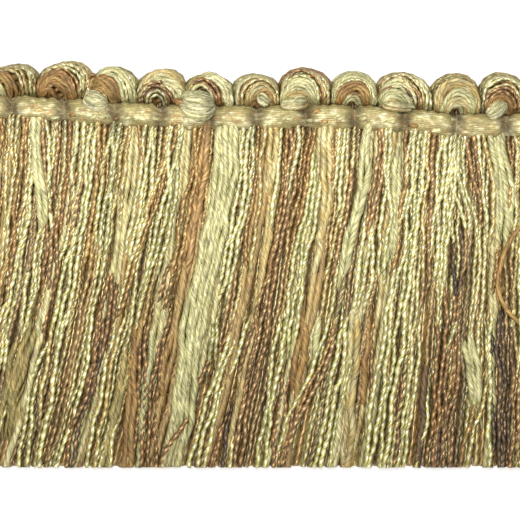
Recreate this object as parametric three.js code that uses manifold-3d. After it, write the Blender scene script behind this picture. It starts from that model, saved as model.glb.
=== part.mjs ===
// A cut length of brush fringe trim, lying face up on a flat surface. Millimetres.
//
// +X runs along the heading, +Y from the cut ends up to the loops, and +Z out of the face.
// The origin is on the flat back of the heading, at the middle of its length.
//
// The trim is a row of fat yarn loops on top, a narrow satin ribbon across the heading,
// and a skirt of cut yarns, whose roots are bound into the heading tape behind the ribbon.
// Each piece starts as a straight one and is then bent to its course.

import * as THREE from "three";
import { mergeVertices } from "three/addons/utils/BufferGeometryUtils.js";
import Module from "manifold-3d";

const wasm = await Module();
wasm.setup();

// The space between pieces that touch in the real trim.
const GAP = 0.3;

// One row for each loop, from left to right. width is its share of the heading's length,
// rise is how far the heading's middle line lies above the X axis there, crown is the
// loop's height over that line, and skew is how far its top leans to the right.
const LOOPS = [
  { width: 9.1, rise: 1.8, crown: 8.2, skew: 0.9 },
  { width: 10.3, rise: 1.25, crown: 9.2, skew: 1.2 },
  { width: 8.5, rise: 0.6, crown: 8.8, skew: -0.2 },
  { width: 9.0, rise: 0.15, crown: 8.9, skew: 0.9 },
  { width: 9.0, rise: -0.2, crown: 8.1, skew: -0.4 },
  { width: 8.7, rise: -0.2, crown: 8.3, skew: -0.5 },
  { width: 9.9, rise: 0.1, crown: 9.1, skew: -0.4 },
  { width: 8.5, rise: 0.0, crown: 8.6, skew: 0.0 },
  { width: 10.3, rise: -0.65, crown: 9.0, skew: -0.4 },
  { width: 9.1, rise: -1.6, crown: 9.7, skew: 0.3 },
  { width: 9.3, rise: -1.65, crown: 9.9, skew: -0.6 },
  { width: 9.2, rise: -1.4, crown: 9.4, skew: 0.0 },
];
const HEADING_LENGTH = LOOPS.reduce((sum, loop) => sum + loop.width, 0);

// Heading tape, across its height and through its thickness. It is pulled in by stitches
// at the loops' middles, and swells between them.
const TAPE_TOP = 1.0;
const TAPE_BOTTOM = -2.3;
const TAPE_THICK = 3.0;
const SWELL = 0.8;

// Ribbon. It follows the tape's swells, and is narrower where the stitches pull it in.
const RIBBON_HALF = 2.2;
const RIBBON_PINCH = 0.3;
const RIBBON_THICK = 1.0;
const RIBBON_CROWN = 0.25;
const RIBBON_STEPS_PER_LOOP = 6;

// Loops: nested arches of yarn in a thick bundle with a flat back. Their feet stand on
// the tape, behind the ribbon. Inner arches spring lower than the outermost one.
const LOOP_FOOT = TAPE_TOP + GAP;
const INNER_SPRING = 2.2;
const OUTER_SPRING = 5.4;
const INNER_REACH = 0.04;
const FOOT_THICK = 2.8;
const CROWN_THICK = 5.1;
const RIDGES = 5;
const RIDGE_DEPTH = 0.17;
const BACK_ANGLE = Math.PI / 9;
const ARCH_STEPS = 8;
// The stations up a leg: the share of its height, and of its swelling to full thickness.
const LEG = [
  { up: 0, full: 0 },
  { up: 0.3, full: 0.05 },
];

// Skirt: layers of three-sided yarns, a flat side down, cut off along one straight line.
// gather is how far the cut ends draw together into locks, and lock is a lock's width.
const LAYERS = [
  { yarns: 102, bottom: 0.0, rootBottom: 0.12, lean: 0.86, gather: 0.22, lock: 9.5 },
  { yarns: 96, bottom: 1.2, rootBottom: 1.08, lean: 0.94, gather: 0.34, lock: 10.8 },
  { yarns: 92, bottom: 2.4, rootBottom: 2.04, lean: 1.0, gather: 0.5, lock: 12.6 },
];
const YARN_WIDTH = 0.86;
const YARN_HEIGHT = 0.88;
const YARN_STATIONS = [0, 0.05, 0.35, 0.68, 1];
const ROOT_DEPTH = 0.4;
const ROOT_UNEVEN = 0.07;
const CUT_LINE = -65.9;
const CUT_UNEVEN = 0.35;

// A yarn's wave from side to side: its size, and its turns in radians down the whole yarn
// and along each millimetre of heading.
const SWAY = 0.11;
const SWAY_DOWN = 5;
const SWAY_ALONG = 0.35;

// The share of a yarn's lean that is straight from its root. The rest comes on in a bow.
const STRAIGHT_LEAN = 0.4;

// How far the yarns' cut ends lie to the left of their roots, along the heading.
const LEAN = [
  { x: -54, left: 13.5 },
  { x: -34, left: 12.5 },
  { x: -4, left: 10.5 },
  { x: 22, left: 8.0 },
  { x: 33, left: 3.5 },
  { x: 46, left: 1.5 },
];

// Finishes. The loops take theirs in turn.
const YARN_ROUGHNESS = 0.45;
const RIBBON_ROUGHNESS = 0.4;
const SKIRT_COLOUR = 0xb3a66a;
const RIBBON_COLOUR = 0xb9ad74;
const LOOP_COLOURS = [0xa98c52, 0x8f6238, 0xb4a973, 0xc0bd8c];

// Vertices closer than this are one, and the two numbers that scatter jitter's results.
const SAME_POINT = 1e-4;
const SCATTER_STEP = 12.9898;
const SCATTER_SPREAD = 43758.5453;

// The loops' middles, worked out from their widths.
let edge = -HEADING_LENGTH / 2;
for (const loop of LOOPS) {
  loop.middle = edge + loop.width / 2;
  edge += loop.width;
}

// A smooth step from 0 to 1.
const smooth = (t) => t * t * (3 - 2 * t);

// A blend from a to b by a share.
const mix = (a, b, share) => a + (b - a) * share;

// A number from -1 to 1 that is always the same for the same n.
function jitter(n) {
  const s = Math.sin(n * SCATTER_STEP) * SCATTER_SPREAD;
  return 2 * (s - Math.floor(s)) - 1;
}

// The value of a table's column at x, eased from row to row and level past its ends.
function follow(rows, at, column, x) {
  const next = rows.findIndex((row) => row[at] > x);
  if (next === 0) return rows[0][column];
  if (next === -1) return rows[rows.length - 1][column];
  const a = rows[next - 1];
  const b = rows[next];
  const share = smooth((x - a[at]) / (b[at] - a[at]));
  return mix(a[column], b[column], share);
}

const rise = (x) => follow(LOOPS, "middle", "rise", x);

// The place along the heading that lies a count of loops from its left end.
function along(count) {
  const loop = LOOPS[Math.min(LOOPS.length - 1, Math.floor(count))];
  return loop.middle + loop.width * (count - LOOPS.indexOf(loop) - 0.5);
}

// 0 at a loop's middle, where the stitches are, and 1 half way to the next one.
const swell = (count) => Math.abs(Math.cos(Math.PI * count));

// A straight piece's geometry with each vertex moved to where place() puts it.
function bend(straight, place) {
  straight.deleteAttribute("normal");
  straight.deleteAttribute("uv");
  const bent = mergeVertices(straight, SAME_POINT);
  const position = bent.getAttribute("position");
  const point = new THREE.Vector3();
  for (let i = 0; i < position.count; i++) {
    point.fromBufferAttribute(position, i);
    place(point);
    position.setXYZ(i, point.x, point.y, point.z);
  }
  return bent;
}

function solidOf(geometry) {
  return new wasm.Manifold(
    new wasm.Mesh({
      numProp: 3,
      vertProperties: geometry.getAttribute("position").array,
      triVerts: new Uint32Array(geometry.index.array),
    }),
  );
}

function geometryOf(solid) {
  const mesh = solid.getMesh();
  return new THREE.BufferGeometry()
    .setAttribute("position", new THREE.BufferAttribute(mesh.vertProperties, 3))
    .setIndex(new THREE.BufferAttribute(mesh.triVerts, 1));
}

function tape() {
  const height = TAPE_TOP - TAPE_BOTTOM;
  const bar = new THREE.BoxGeometry(LOOPS.length, height, TAPE_THICK, 2 * LOOPS.length, 1, 1);
  return bend(bar, (p) => {
    const count = p.x + LOOPS.length / 2;
    p.x = along(count);
    p.y += rise(p.x) + (TAPE_TOP + TAPE_BOTTOM) / 2;
    p.z = p.z < 0 ? 0 : TAPE_THICK + SWELL * swell(count);
  });
}

// One yarn of the skirt. root is its place along the heading, and seed sets its unevenness.
// Its section is drawn across and upward, and its length runs down from the tape.
function yarn(root, layer, seed) {
  const section = new THREE.Shape([
    new THREE.Vector2(-YARN_WIDTH / 2, 0),
    new THREE.Vector2(YARN_WIDTH / 2, 0),
    new THREE.Vector2(0, YARN_HEIGHT),
  ]);
  const prism = new THREE.ExtrudeGeometry(section, {
    depth: 1,
    steps: YARN_STATIONS.length - 1,
    bevelEnabled: false,
  });
  const top = rise(root) + TAPE_BOTTOM + ROOT_DEPTH;
  const end = CUT_LINE + CUT_UNEVEN * jitter(seed);
  const left = layer.lean * follow(LEAN, "x", "left", root);
  return bend(prism, (p) => {
    const station = Math.round(p.z * (YARN_STATIONS.length - 1));
    const t = YARN_STATIONS[station];
    const swing = left * mix(t * t, t, STRAIGHT_LEAN);
    const sway = SWAY * Math.sin(SWAY_DOWN * t + SWAY_ALONG * root);
    const drawn = layer.gather * Math.sin((2 * Math.PI * root) / layer.lock + layer.bottom);
    const lift = station ? layer.bottom : layer.rootBottom + ROOT_UNEVEN * jitter(seed / 2);
    const across = root + p.x - swing + (sway + drawn) * smooth(t);
    p.set(across, mix(top, end, t), lift + p.y);
  });
}

function skirt() {
  const solids = [solidOf(tape())];
  for (const layer of LAYERS) {
    const pitch = HEADING_LENGTH / layer.yarns;
    for (let i = 0; i < layer.yarns; i++) {
      solids.push(solidOf(yarn((i + 0.5) * pitch - HEADING_LENGTH / 2, layer, solids.length)));
    }
  }
  return geometryOf(wasm.Manifold.union(solids));
}

function ribbon() {
  const steps = RIBBON_STEPS_PER_LOOP * LOOPS.length;
  const strip = new THREE.BoxGeometry(LOOPS.length, 2, RIBBON_THICK, steps, 2, 1);
  return bend(strip, (p) => {
    const count = p.x + LOOPS.length / 2;
    const out = swell(count);
    const half = RIBBON_HALF - RIBBON_PINCH * (1 - out);
    p.x = along(count);
    p.z += TAPE_THICK + GAP + RIBBON_THICK / 2;
    p.z += SWELL * out + RIBBON_CROWN * (1 - p.y * p.y);
    p.y = rise(p.x) + half * p.y;
  });
}

// The bundle's section: a unit circle with ridges over its front, cut off flat behind.
function ridgedSection() {
  const points = [];
  for (let i = 0; i <= 2 * RIDGES; i++) {
    const angle = mix(-BACK_ANGLE, Math.PI + BACK_ANGLE, i / (2 * RIDGES));
    const radius = i % 2 ? 1 - RIDGE_DEPTH : 1;
    points.push(new THREE.Vector2(radius * Math.cos(angle), radius * Math.sin(angle)));
  }
  return new THREE.Shape(points);
}

// A loop, from its left foot up one leg, over the arch and down to its right foot.
function loop({ width, crown, skew, middle }) {
  const steps = ARCH_STEPS + 2 * LEG.length;
  const bundle = new THREE.ExtrudeGeometry(ridgedSection(), {
    depth: 1,
    steps,
    bevelEnabled: false,
  });
  const half = (width - GAP) / 2;
  const back = -Math.sin(BACK_ANGLE);
  return bend(bundle, (p) => {
    const station = Math.round(p.z * steps);
    const { up, full } = LEG[Math.min(station, steps - station)] ?? { up: 1, full: 1 };
    const over = Math.min(1, Math.max(0, (station - LEG.length) / ARCH_STEPS));
    const angle = Math.PI * over;
    const reach = mix(INNER_REACH, 1, (1 + p.x) / 2);
    const front = (p.y - back) / (1 - back);
    const high = Math.sin(angle);
    const spring = mix(INNER_SPRING, OUTER_SPRING, reach);
    p.x = middle - half * reach * Math.cos(angle) + skew * reach * high * high;
    p.y = rise(p.x) + mix(LOOP_FOOT, spring, up) + (crown - OUTER_SPRING) * reach * high;
    p.z = Math.max(0, front) * mix(FOOT_THICK, CROWN_THICK, full);
  });
}

function named(name, geometry, colour, roughness) {
  const material = new THREE.MeshStandardMaterial({ color: colour, roughness, metalness: 0 });
  const mesh = new THREE.Mesh(geometry, material);
  mesh.name = name;
  return mesh;
}

const trim = new THREE.Group();
trim.add(named("skirt", skirt(), SKIRT_COLOUR, YARN_ROUGHNESS));
trim.add(named("ribbon", ribbon(), RIBBON_COLOUR, RIBBON_ROUGHNESS));
LOOPS.forEach((row, i) => {
  const name = `loop_${String(i + 1).padStart(2, "0")}`;
  trim.add(named(name, loop(row), LOOP_COLOURS[i % LOOP_COLOURS.length], YARN_ROUGHNESS));
});

export default trim;
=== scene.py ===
# %% [markdown]
# # Brush fringe trim
#
# A brush fringe is a trim for cushions and curtains. Many yarns are laid across a narrow
# heading, where stitches hold them. Above the heading they turn back as fat loops, below it
# they hang as a skirt with a straight cut, and a satin ribbon covers the stitches.
#
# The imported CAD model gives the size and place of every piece. This lesson dresses it: each
# plain solid is replaced by yarns or a woven ribbon that lie in the same space.

# %% Load the frame
import math

import bpy
import numpy as np
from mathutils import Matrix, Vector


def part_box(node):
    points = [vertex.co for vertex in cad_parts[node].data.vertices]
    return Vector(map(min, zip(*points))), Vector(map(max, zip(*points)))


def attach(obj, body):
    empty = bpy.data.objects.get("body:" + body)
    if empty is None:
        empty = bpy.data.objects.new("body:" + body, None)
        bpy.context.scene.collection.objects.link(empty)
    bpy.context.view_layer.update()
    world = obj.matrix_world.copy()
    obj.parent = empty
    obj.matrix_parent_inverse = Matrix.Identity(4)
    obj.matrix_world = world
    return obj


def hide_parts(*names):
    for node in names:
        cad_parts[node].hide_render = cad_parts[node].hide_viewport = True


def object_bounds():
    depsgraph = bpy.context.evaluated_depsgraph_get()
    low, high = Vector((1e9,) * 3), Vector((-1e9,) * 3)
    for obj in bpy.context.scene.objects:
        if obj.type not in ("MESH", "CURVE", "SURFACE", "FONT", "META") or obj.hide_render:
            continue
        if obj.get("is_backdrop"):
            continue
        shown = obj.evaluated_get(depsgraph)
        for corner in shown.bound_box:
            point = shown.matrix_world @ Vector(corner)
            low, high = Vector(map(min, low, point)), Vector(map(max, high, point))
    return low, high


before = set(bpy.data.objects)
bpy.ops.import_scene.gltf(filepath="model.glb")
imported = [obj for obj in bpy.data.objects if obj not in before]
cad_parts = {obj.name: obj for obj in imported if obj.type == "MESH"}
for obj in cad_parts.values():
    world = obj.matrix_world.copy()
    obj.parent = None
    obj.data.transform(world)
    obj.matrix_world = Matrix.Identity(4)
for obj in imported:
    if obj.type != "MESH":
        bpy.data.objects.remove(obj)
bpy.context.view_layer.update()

# %% [markdown]
# ## Camera, light and floor
#
# The trim lies face up and is seen from straight above, a little closer than its whole
# length. A long lens keeps it flat. One soft light hangs over the heading, so the loops are
# bright and the cut ends fall off, helped by painted shade towards the cut, and a pale room
# fills the shadows. The yarns are glossy: a light close to the camera gives each twist its
# small bright bead, along with a painted highlight in their colour.

# %% Camera
# All sizes in this script are in millimetres, and become metres when a mesh is made.
MM = 0.001
VIEW_WIDTH = 97.8
VIEW_CENTRE = (-4.45, -26.9)
FACE_LEVEL = 3.0
LENS = 100
SENSOR = 36

camera_data = bpy.data.cameras.new("camera")
camera_data.lens = LENS
camera_data.sensor_width = SENSOR
camera = bpy.data.objects.new("camera", camera_data)
bpy.context.scene.collection.objects.link(camera)
distance = VIEW_WIDTH * LENS / SENSOR
camera.location = (VIEW_CENTRE[0] * MM, VIEW_CENTRE[1] * MM, (FACE_LEVEL + distance) * MM)
bpy.context.scene.camera = camera
print("camera is", round(distance), "mm above the trim's face")

# %% Light
KEY_PLACE = (-20, 40, 330)
KEY_SIZE = (50, 250)
KEY_POWER = 0.88
ROOM_BRIGHTNESS = 0.95
ROOM_COLOUR = (1.0, 0.99, 0.97, 1)

key_data = bpy.data.lights.new("key_light", "AREA")
key_data.shape = "RECTANGLE"
key_data.size = KEY_SIZE[0] * MM
key_data.size_y = KEY_SIZE[1] * MM
key_data.energy = KEY_POWER
key_light = bpy.data.objects.new("key_light", key_data)
key_light.location = [v * MM for v in KEY_PLACE]
bpy.context.scene.collection.objects.link(key_light)

world = bpy.data.worlds.new("room")
world.use_nodes = True
background = world.node_tree.nodes["Background"]
background.inputs["Color"].default_value = ROOM_COLOUR
background.inputs["Strength"].default_value = ROOM_BRIGHTNESS
bpy.context.scene.world = world
bpy.context.scene.view_settings.view_transform = "Standard"
print("key light", KEY_POWER, "W, room", ROOM_BRIGHTNESS)

# %% Floor
FLOOR_SIZE = 3000
FLOOR_DROP = 0.05
PAPER_COLOUR = (0.95, 0.95, 0.95, 1)
PAPER_ROUGHNESS = 0.9


def deselect():
    """Operators act on all that is selected, so each step starts from nothing."""
    if bpy.context.mode != "OBJECT":
        bpy.ops.object.mode_set(mode="OBJECT")
    bpy.ops.object.select_all(action="DESELECT")


deselect()
bpy.ops.mesh.primitive_plane_add(size=FLOOR_SIZE * MM, location=(0, 0, -FLOOR_DROP * MM))
floor = bpy.context.object
floor.name = "floor"
paper = bpy.data.materials.new("white_paper")
paper.use_nodes = True
paper_shader = paper.node_tree.nodes["Principled BSDF"]
paper_shader.inputs["Base Color"].default_value = PAPER_COLOUR
paper_shader.inputs["Roughness"].default_value = PAPER_ROUGHNESS
floor.data.materials.append(paper)
floor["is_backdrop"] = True
print("floor", FLOOR_SIZE, "mm across")

# %% [markdown]
# ## The heading's layout
#
# The trim isn't perfectly straight, and no two loops are the same. The CAD source has one row
# of sizes for each loop, and the same rows are set down here, because the ribbon and the
# yarns follow them too: a loop's width, how far the heading rises there, how high the loop
# stands and how far it leans. Small functions then answer where the heading is at any place
# along it, how far the ribbon swells there between its stitches, and how much light is left
# beside a stitch.

# %% Layout
LOOPS = [
    {"width": 9.1, "rise": 1.8, "crown": 8.2, "skew": 0.9},
    {"width": 10.3, "rise": 1.25, "crown": 9.2, "skew": 1.2},
    {"width": 8.5, "rise": 0.6, "crown": 8.8, "skew": -0.2},
    {"width": 9.0, "rise": 0.15, "crown": 8.9, "skew": 0.9},
    {"width": 9.0, "rise": -0.2, "crown": 8.1, "skew": -0.4},
    {"width": 8.7, "rise": -0.2, "crown": 8.3, "skew": -0.5},
    {"width": 9.9, "rise": 0.1, "crown": 9.1, "skew": -0.4},
    {"width": 8.5, "rise": 0.0, "crown": 8.6, "skew": 0.0},
    {"width": 10.3, "rise": -0.65, "crown": 9.0, "skew": -0.4},
    {"width": 9.1, "rise": -1.6, "crown": 9.7, "skew": 0.3},
    {"width": 9.3, "rise": -1.65, "crown": 9.9, "skew": -0.6},
    {"width": 9.2, "rise": -1.4, "crown": 9.4, "skew": 0.0},
]
widths = np.array([loop["width"] for loop in LOOPS])
heading_length = widths.sum()
edges = np.concatenate([[0], np.cumsum(widths)]) - heading_length / 2
middles = (edges[:-1] + edges[1:]) / 2
rises = np.array([loop["rise"] for loop in LOOPS])


def smooth(t):
    """A smooth step from 0 to 1."""
    return t * t * (3 - 2 * t)


def mix(a, b, share):
    """A blend from a to b."""
    return a + (b - a) * share


def ease(x, places, values):
    """The value at x, eased from each place to the next and level past the ends."""
    x = np.asarray(x, float)
    i = np.clip(np.searchsorted(places, x, side="right") - 1, 0, len(places) - 2)
    share = np.clip((x - places[i]) / (places[i + 1] - places[i]), 0, 1)
    return mix(values[i], values[i + 1], smooth(share))


def rise(x):
    """How far the heading rises at x."""
    return ease(x, middles, rises)


def swell(x):
    """0 at a loop's middle, where the stitches are, and 1 half way to the next one."""
    return np.abs(np.cos(np.pi * np.interp(x, edges, np.arange(len(edges)))))


def from_stitch(x):
    """How far x is from the nearest loop's middle, where a stitch pulls the ribbon in."""
    return np.abs(np.asarray(x)[..., None] - middles).min(axis=-1)


# All the skirt's yarns are cut off along one line, and run a little past it first.
CUT_LINE = -65.9
CUT_PAST = 0.15
SKIRT_DEPTH = 66
# Around a stitch the yarns and the ribbon are pulled in and lie in its shadow.
STITCH_SHADOW = {"across": 1.3, "along": 5.0, "strength": 0.42}


def down_skirt(y):
    """0 at the heading and 1 at the cut."""
    return np.clip(-y / SKIRT_DEPTH, 0, 1)


def in_shadow(x, y):
    """How much of the light is left at a place near the stitches."""
    across = np.exp(-((from_stitch(x) / STITCH_SHADOW["across"]) ** 2))
    along = np.exp(-(((y - rise(x)) / STITCH_SHADOW["along"]) ** 4))
    return 1 - STITCH_SHADOW["strength"] * across * along


ribbon_low, ribbon_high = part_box("ribbon")
print("heading", round(heading_length, 1), "mm, CAD ribbon", round((ribbon_high.x - ribbon_low.x) / MM, 1))

# %% [markdown]
# ## Dyes and finishes
#
# The yarns are rayon, a smooth shiny fibre, in eight dyes from cream to nearly black; the nearly
# black one is painted shade. A dye is laid on each yarn as a colour attribute of its mesh, with
# the yarn's painted light and shade, because one piece holds yarns of many dyes, and each yarn
# drifts in colour along its length. The material reads that attribute.
#
# What all yarns share is the look of fine filaments, so it is a node group: it takes the
# dye, with its painted light and shade, and the yarn's own UV map, whose U runs around the yarn
# and V along it, and gives back a colour streaked with painted highlight on the filament ridges
# and painted shade between them, an uneven roughness and a height for the bump.

# %% Dyes
# Each dye as it looks lit on the front of a yarn, and in painted shade deep between its plies.
DYES_AND_GROOVE_SHADES = {
    "cream": ((0.92, 0.85, 0.53), (0.42, 0.38, 0.105)),
    "celadon": ((0.53, 0.50, 0.26), (0.34, 0.32, 0.09)),
    "gold": ((0.55, 0.40, 0.14), (0.30, 0.20, 0.05)),
    "olive": ((0.37, 0.31, 0.115), (0.18, 0.145, 0.04)),
    "copper": ((0.40, 0.215, 0.066), (0.18, 0.088, 0.022)),
    "brown": ((0.64, 0.41, 0.16), (0.15, 0.08, 0.024)),
    "umber": ((0.46, 0.26, 0.09), (0.095, 0.05, 0.015)),
    # The dark dye is painted shade: it fills hollows and gaps where shade falls.
    "dark": ((0.075, 0.051, 0.029), (0.042, 0.029, 0.017)),
}
# What each dye drifts towards along a yarn.
DRIFTS = {
    "cream": "celadon",
    "celadon": "cream",
    "gold": "cream",
    "olive": "gold",
    "copper": "gold",
    "brown": "copper",
    "umber": "copper",
    "dark": "umber",
}
print(len(DYES_AND_GROOVE_SHADES), "dyes")


# %% The filament group
def new_group(name, inputs, outputs):
    """An empty shader node group with named sockets, and its input and output nodes."""
    group = bpy.data.node_groups.new(name, "ShaderNodeTree")
    for label, kind, value in inputs:
        socket = group.interface.new_socket(label, in_out="INPUT", socket_type=kind)
        if value is not None:
            socket.default_value = value
    for label, kind in outputs:
        group.interface.new_socket(label, in_out="OUTPUT", socket_type=kind)
    return group, group.nodes.new("NodeGroupInput"), group.nodes.new("NodeGroupOutput")


def maths(tree, operation, a, b=None):
    """A Math node fed by sockets or plain numbers, and its result."""
    node = tree.nodes.new("ShaderNodeMath")
    node.operation = operation
    for socket, value in zip(node.inputs, (a, b)):
        if isinstance(value, bpy.types.NodeSocket):
            tree.links.new(value, socket)
        elif value is not None:
            socket.default_value = value
    return node.outputs[0]


def ranged(tree, value, low, high, to_low, to_high):
    """A Map Range node from low..high to to_low..to_high, and its result."""
    node = tree.nodes.new("ShaderNodeMapRange")
    tree.links.new(value, node.inputs["Value"])
    for label, number in zip(("From Min", "From Max", "To Min", "To Max"), (low, high, to_low, to_high)):
        if isinstance(number, bpy.types.NodeSocket):
            tree.links.new(number, node.inputs[label])
        else:
            node.inputs[label].default_value = number
    return node.outputs["Result"]


def noise(tree, vector, scale=1.0, detail=2.0):
    """A Noise Texture node read at a vector, and its grey value."""
    node = tree.nodes.new("ShaderNodeTexNoise")
    tree.links.new(vector, node.inputs["Vector"])
    node.inputs["Scale"].default_value = scale
    node.inputs["Detail"].default_value = detail
    return node.outputs["Fac"]


def stretched(tree, vector, scale):
    """The vector through a Mapping node that scales each axis on its own."""
    node = tree.nodes.new("ShaderNodeMapping")
    tree.links.new(vector, node.inputs["Vector"])
    node.inputs["Scale"].default_value = scale
    return node.outputs["Vector"]


def tinted(tree, colour, value):
    """A colour times a grey value."""
    node = tree.nodes.new("ShaderNodeVectorMath")
    node.operation = "SCALE"
    tree.links.new(colour, node.inputs[0])
    tree.links.new(value, node.inputs["Scale"])
    return node.outputs[0]


# Noise keeps to the middle of its range, so its shades are spread out from these values.
RIDGE_NOISE = (0.34, 0.66)
PATCH_NOISE = (0.3, 0.7)
# Along a yarn lie lighter and darker, rougher and glossier patches.
PATCH_SCALE = 0.45
PATCH_SHADES = (0.86, 1.1)
PATCH_ROUGHNESS = (0.85, 1.2)

# The Dye input brings the yarn's dye together with its painted light and shade.
filaments, given, made = new_group(
    "filaments",
    [("Dye", "NodeSocketColor", None), ("Along", "NodeSocketVector", None),
     ("Count", "NodeSocketFloat", 12.0), ("Stretch", "NodeSocketFloat", 2.0),
     ("Shine", "NodeSocketFloat", 0.3), ("Dark", "NodeSocketFloat", 0.6), ("Bright", "NodeSocketFloat", 1.3)],
    [("Colour", "NodeSocketColor"), ("Roughness", "NodeSocketFloat"), ("Height", "NodeSocketFloat")],
)
# The place around the yarn is laid on a circle, so the noise has no seam. The circle is
# Count noise cells round, and Stretch sets how short the streaks are along the yarn.
around = filaments.nodes.new("ShaderNodeSeparateXYZ")
filaments.links.new(given.outputs["Along"], around.inputs["Vector"])
turn = maths(filaments, "MULTIPLY", around.outputs["X"], 2 * math.pi)
radius = maths(filaments, "DIVIDE", given.outputs["Count"], 2 * math.pi)
circle = filaments.nodes.new("ShaderNodeCombineXYZ")
for axis, wave in (("X", "COSINE"), ("Y", "SINE")):
    edge = maths(filaments, "MULTIPLY", maths(filaments, wave, turn), radius)
    filaments.links.new(edge, circle.inputs[axis])
far = maths(filaments, "MULTIPLY", around.outputs["Y"], given.outputs["Stretch"])
filaments.links.new(far, circle.inputs["Z"])
ridges = noise(filaments, circle.outputs["Vector"], detail=1.0)
only_along = stretched(filaments, given.outputs["Along"], (0, 1, 0))
patches = noise(filaments, only_along, scale=PATCH_SCALE, detail=1.0)
# Painted highlight on each filament ridge and painted shade between them.
ridge_light_and_shade = ranged(filaments, ridges, *RIDGE_NOISE, given.outputs["Dark"], given.outputs["Bright"])
patch = ranged(filaments, patches, *PATCH_NOISE, *PATCH_SHADES)
shade = maths(filaments, "MULTIPLY", ridge_light_and_shade, patch)
filaments.links.new(tinted(filaments, given.outputs["Dye"], shade), made.inputs["Colour"])
uneven = ranged(filaments, patches, *PATCH_NOISE, *PATCH_ROUGHNESS)
filaments.links.new(maths(filaments, "MULTIPLY", uneven, given.outputs["Shine"]), made.inputs["Roughness"])
filaments.links.new(ridges, made.inputs["Height"])
print("group", filaments.name, "with", len(filaments.nodes), "nodes")


# %% Yarn materials
FIBRE_RELIEF = 0.05


def yarn_material(name, roughness, count, stretch, bump, metallic, dark, bright, gloss):
    """Dyed rayon. count is how many filament ridges lie around the yarn, and dark and bright
    are the painted shade between them and the painted highlight on them. The finish is part
    metallic, as light that glances off the fibres takes their dye."""
    material = bpy.data.materials.new(name)
    material.use_nodes = True
    tree = material.node_tree
    shader = tree.nodes["Principled BSDF"]
    # The dye attribute holds each yarn's dye with its painted light and shade.
    dye = tree.nodes.new("ShaderNodeAttribute")
    dye.attribute_name = "dye"
    uv = tree.nodes.new("ShaderNodeUVMap")
    uv.uv_map = "yarn"
    group = tree.nodes.new("ShaderNodeGroup")
    group.node_tree = filaments
    group.inputs["Count"].default_value = count
    group.inputs["Stretch"].default_value = stretch
    group.inputs["Shine"].default_value = roughness
    group.inputs["Dark"].default_value = dark
    group.inputs["Bright"].default_value = bright
    tree.links.new(dye.outputs["Color"], group.inputs["Dye"])
    tree.links.new(uv.outputs["UV"], group.inputs["Along"])
    tree.links.new(group.outputs["Colour"], shader.inputs["Base Color"])
    tree.links.new(group.outputs["Roughness"], shader.inputs["Roughness"])
    relief = tree.nodes.new("ShaderNodeBump")
    relief.inputs["Strength"].default_value = bump
    relief.inputs["Distance"].default_value = FIBRE_RELIEF * MM
    tree.links.new(group.outputs["Height"], relief.inputs["Height"])
    tree.links.new(relief.outputs["Normal"], shader.inputs["Normal"])
    shader.inputs["Metallic"].default_value = metallic
    shader.inputs["Specular IOR Level"].default_value = gloss
    return material


cord_finish = yarn_material("twisted_rayon", roughness=0.33, count=10, stretch=2.0, bump=0.4,
                            metallic=0.5, dark=0.6, bright=1.35, gloss=0.6)
silk_finish = yarn_material("loose_rayon", roughness=0.48, count=18, stretch=3.4, bump=1.0,
                            metallic=0.25, dark=0.5, bright=1.42, gloss=0.4)
print("materials", cord_finish.name, silk_finish.name)

# %% [markdown]
# ## How a yarn is made
#
# A yarn is a section that is carried along a path and turned as it goes, as in the twisting
# of the real one. There are four sorts. A cord is two hard plies twisted tightly, so its
# section has two lobes and a deep groove. A silk is a loose bundle that twists slowly the
# other way, and is wide and flat. Floss is softer still. A plain yarn has few points, for
# places where little of it shows.
#
# There are hundreds of yarns, so their meshes are worked out as arrays of points, and many
# yarns are joined in one mesh. A section's points stay on the same ply all the way, so the
# mesh's lines follow the twist and few points are enough.
#
# Each yarn's light and shade are also painted into its colour. The grooves and sides get painted
# shade, as little light gets in there. A hard ply gets a painted highlight where it faces up,
# which makes the row of beads that a twisted cord shows. Yarns that lie deep among others take
# on a painted bounce light, of the light which those send on.

# %% The sorts of yarn
# lobes is how far out each point of the section lies, and shade how much painted light it gets.
# pitch is the length of one turn, which is made in so many steps, and hand is the way it twists.
# flat is the height for the width. side_light is how much painted light the sides get, and sharp
# and white are how small and how pale a ply's painted highlight bead is. finish is 0 for hard
# yarns and 1 for soft ones.
SORTS = {
    "cord": {
        "lobes": [1.0, 0.76, 0.6, 0.76] * 2, "shade": [0.0, 0.42, 1.0, 0.42] * 2, "plies": 2,
        "pitch": 3.0, "steps": 9, "hand": -1, "flat": 0.95, "width": 1.08,
        "side_light": 0.2, "sharp": 1.3, "white": 0.8, "finish": 0,
    },
    "silk": {
        "lobes": [1.0, 0.9, 0.97, 0.86, 1.0, 0.9, 0.95, 0.88],
        "shade": [1.0, 0.35, 0.8, 0.15, 0.95, 0.4, 0.7, 0.25], "plies": 4,
        "pitch": 5.6, "steps": 12, "hand": 1, "flat": 0.75, "width": 1.42,
        "side_light": 0.45, "sharp": 0.2, "white": 0.1, "finish": 1,
    },
    "floss": {
        "lobes": [1.0, 0.95, 0.98, 0.93] * 2, "shade": [1.0, 0.7, 0.9, 0.6] * 2, "plies": 4,
        "pitch": 8.0, "steps": 14, "hand": 1, "flat": 0.7, "width": 1.4,
        "side_light": 0.62, "sharp": 0, "white": 0, "finish": 1,
    },
    "plain": {
        "lobes": [1.0, 0.8, 0.8] * 2, "shade": [1.0, 0.6, 0.6] * 2, "plies": 2,
        "pitch": 3.6, "steps": 5, "hand": -1, "flat": 0.95, "width": 1.15,
        "side_light": 0.8, "sharp": 0, "white": 0, "finish": 0,
    },
}
UP = np.array([0.0, 0.0, 1.0])
print("sorts of yarn:", ", ".join(SORTS))


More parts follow.
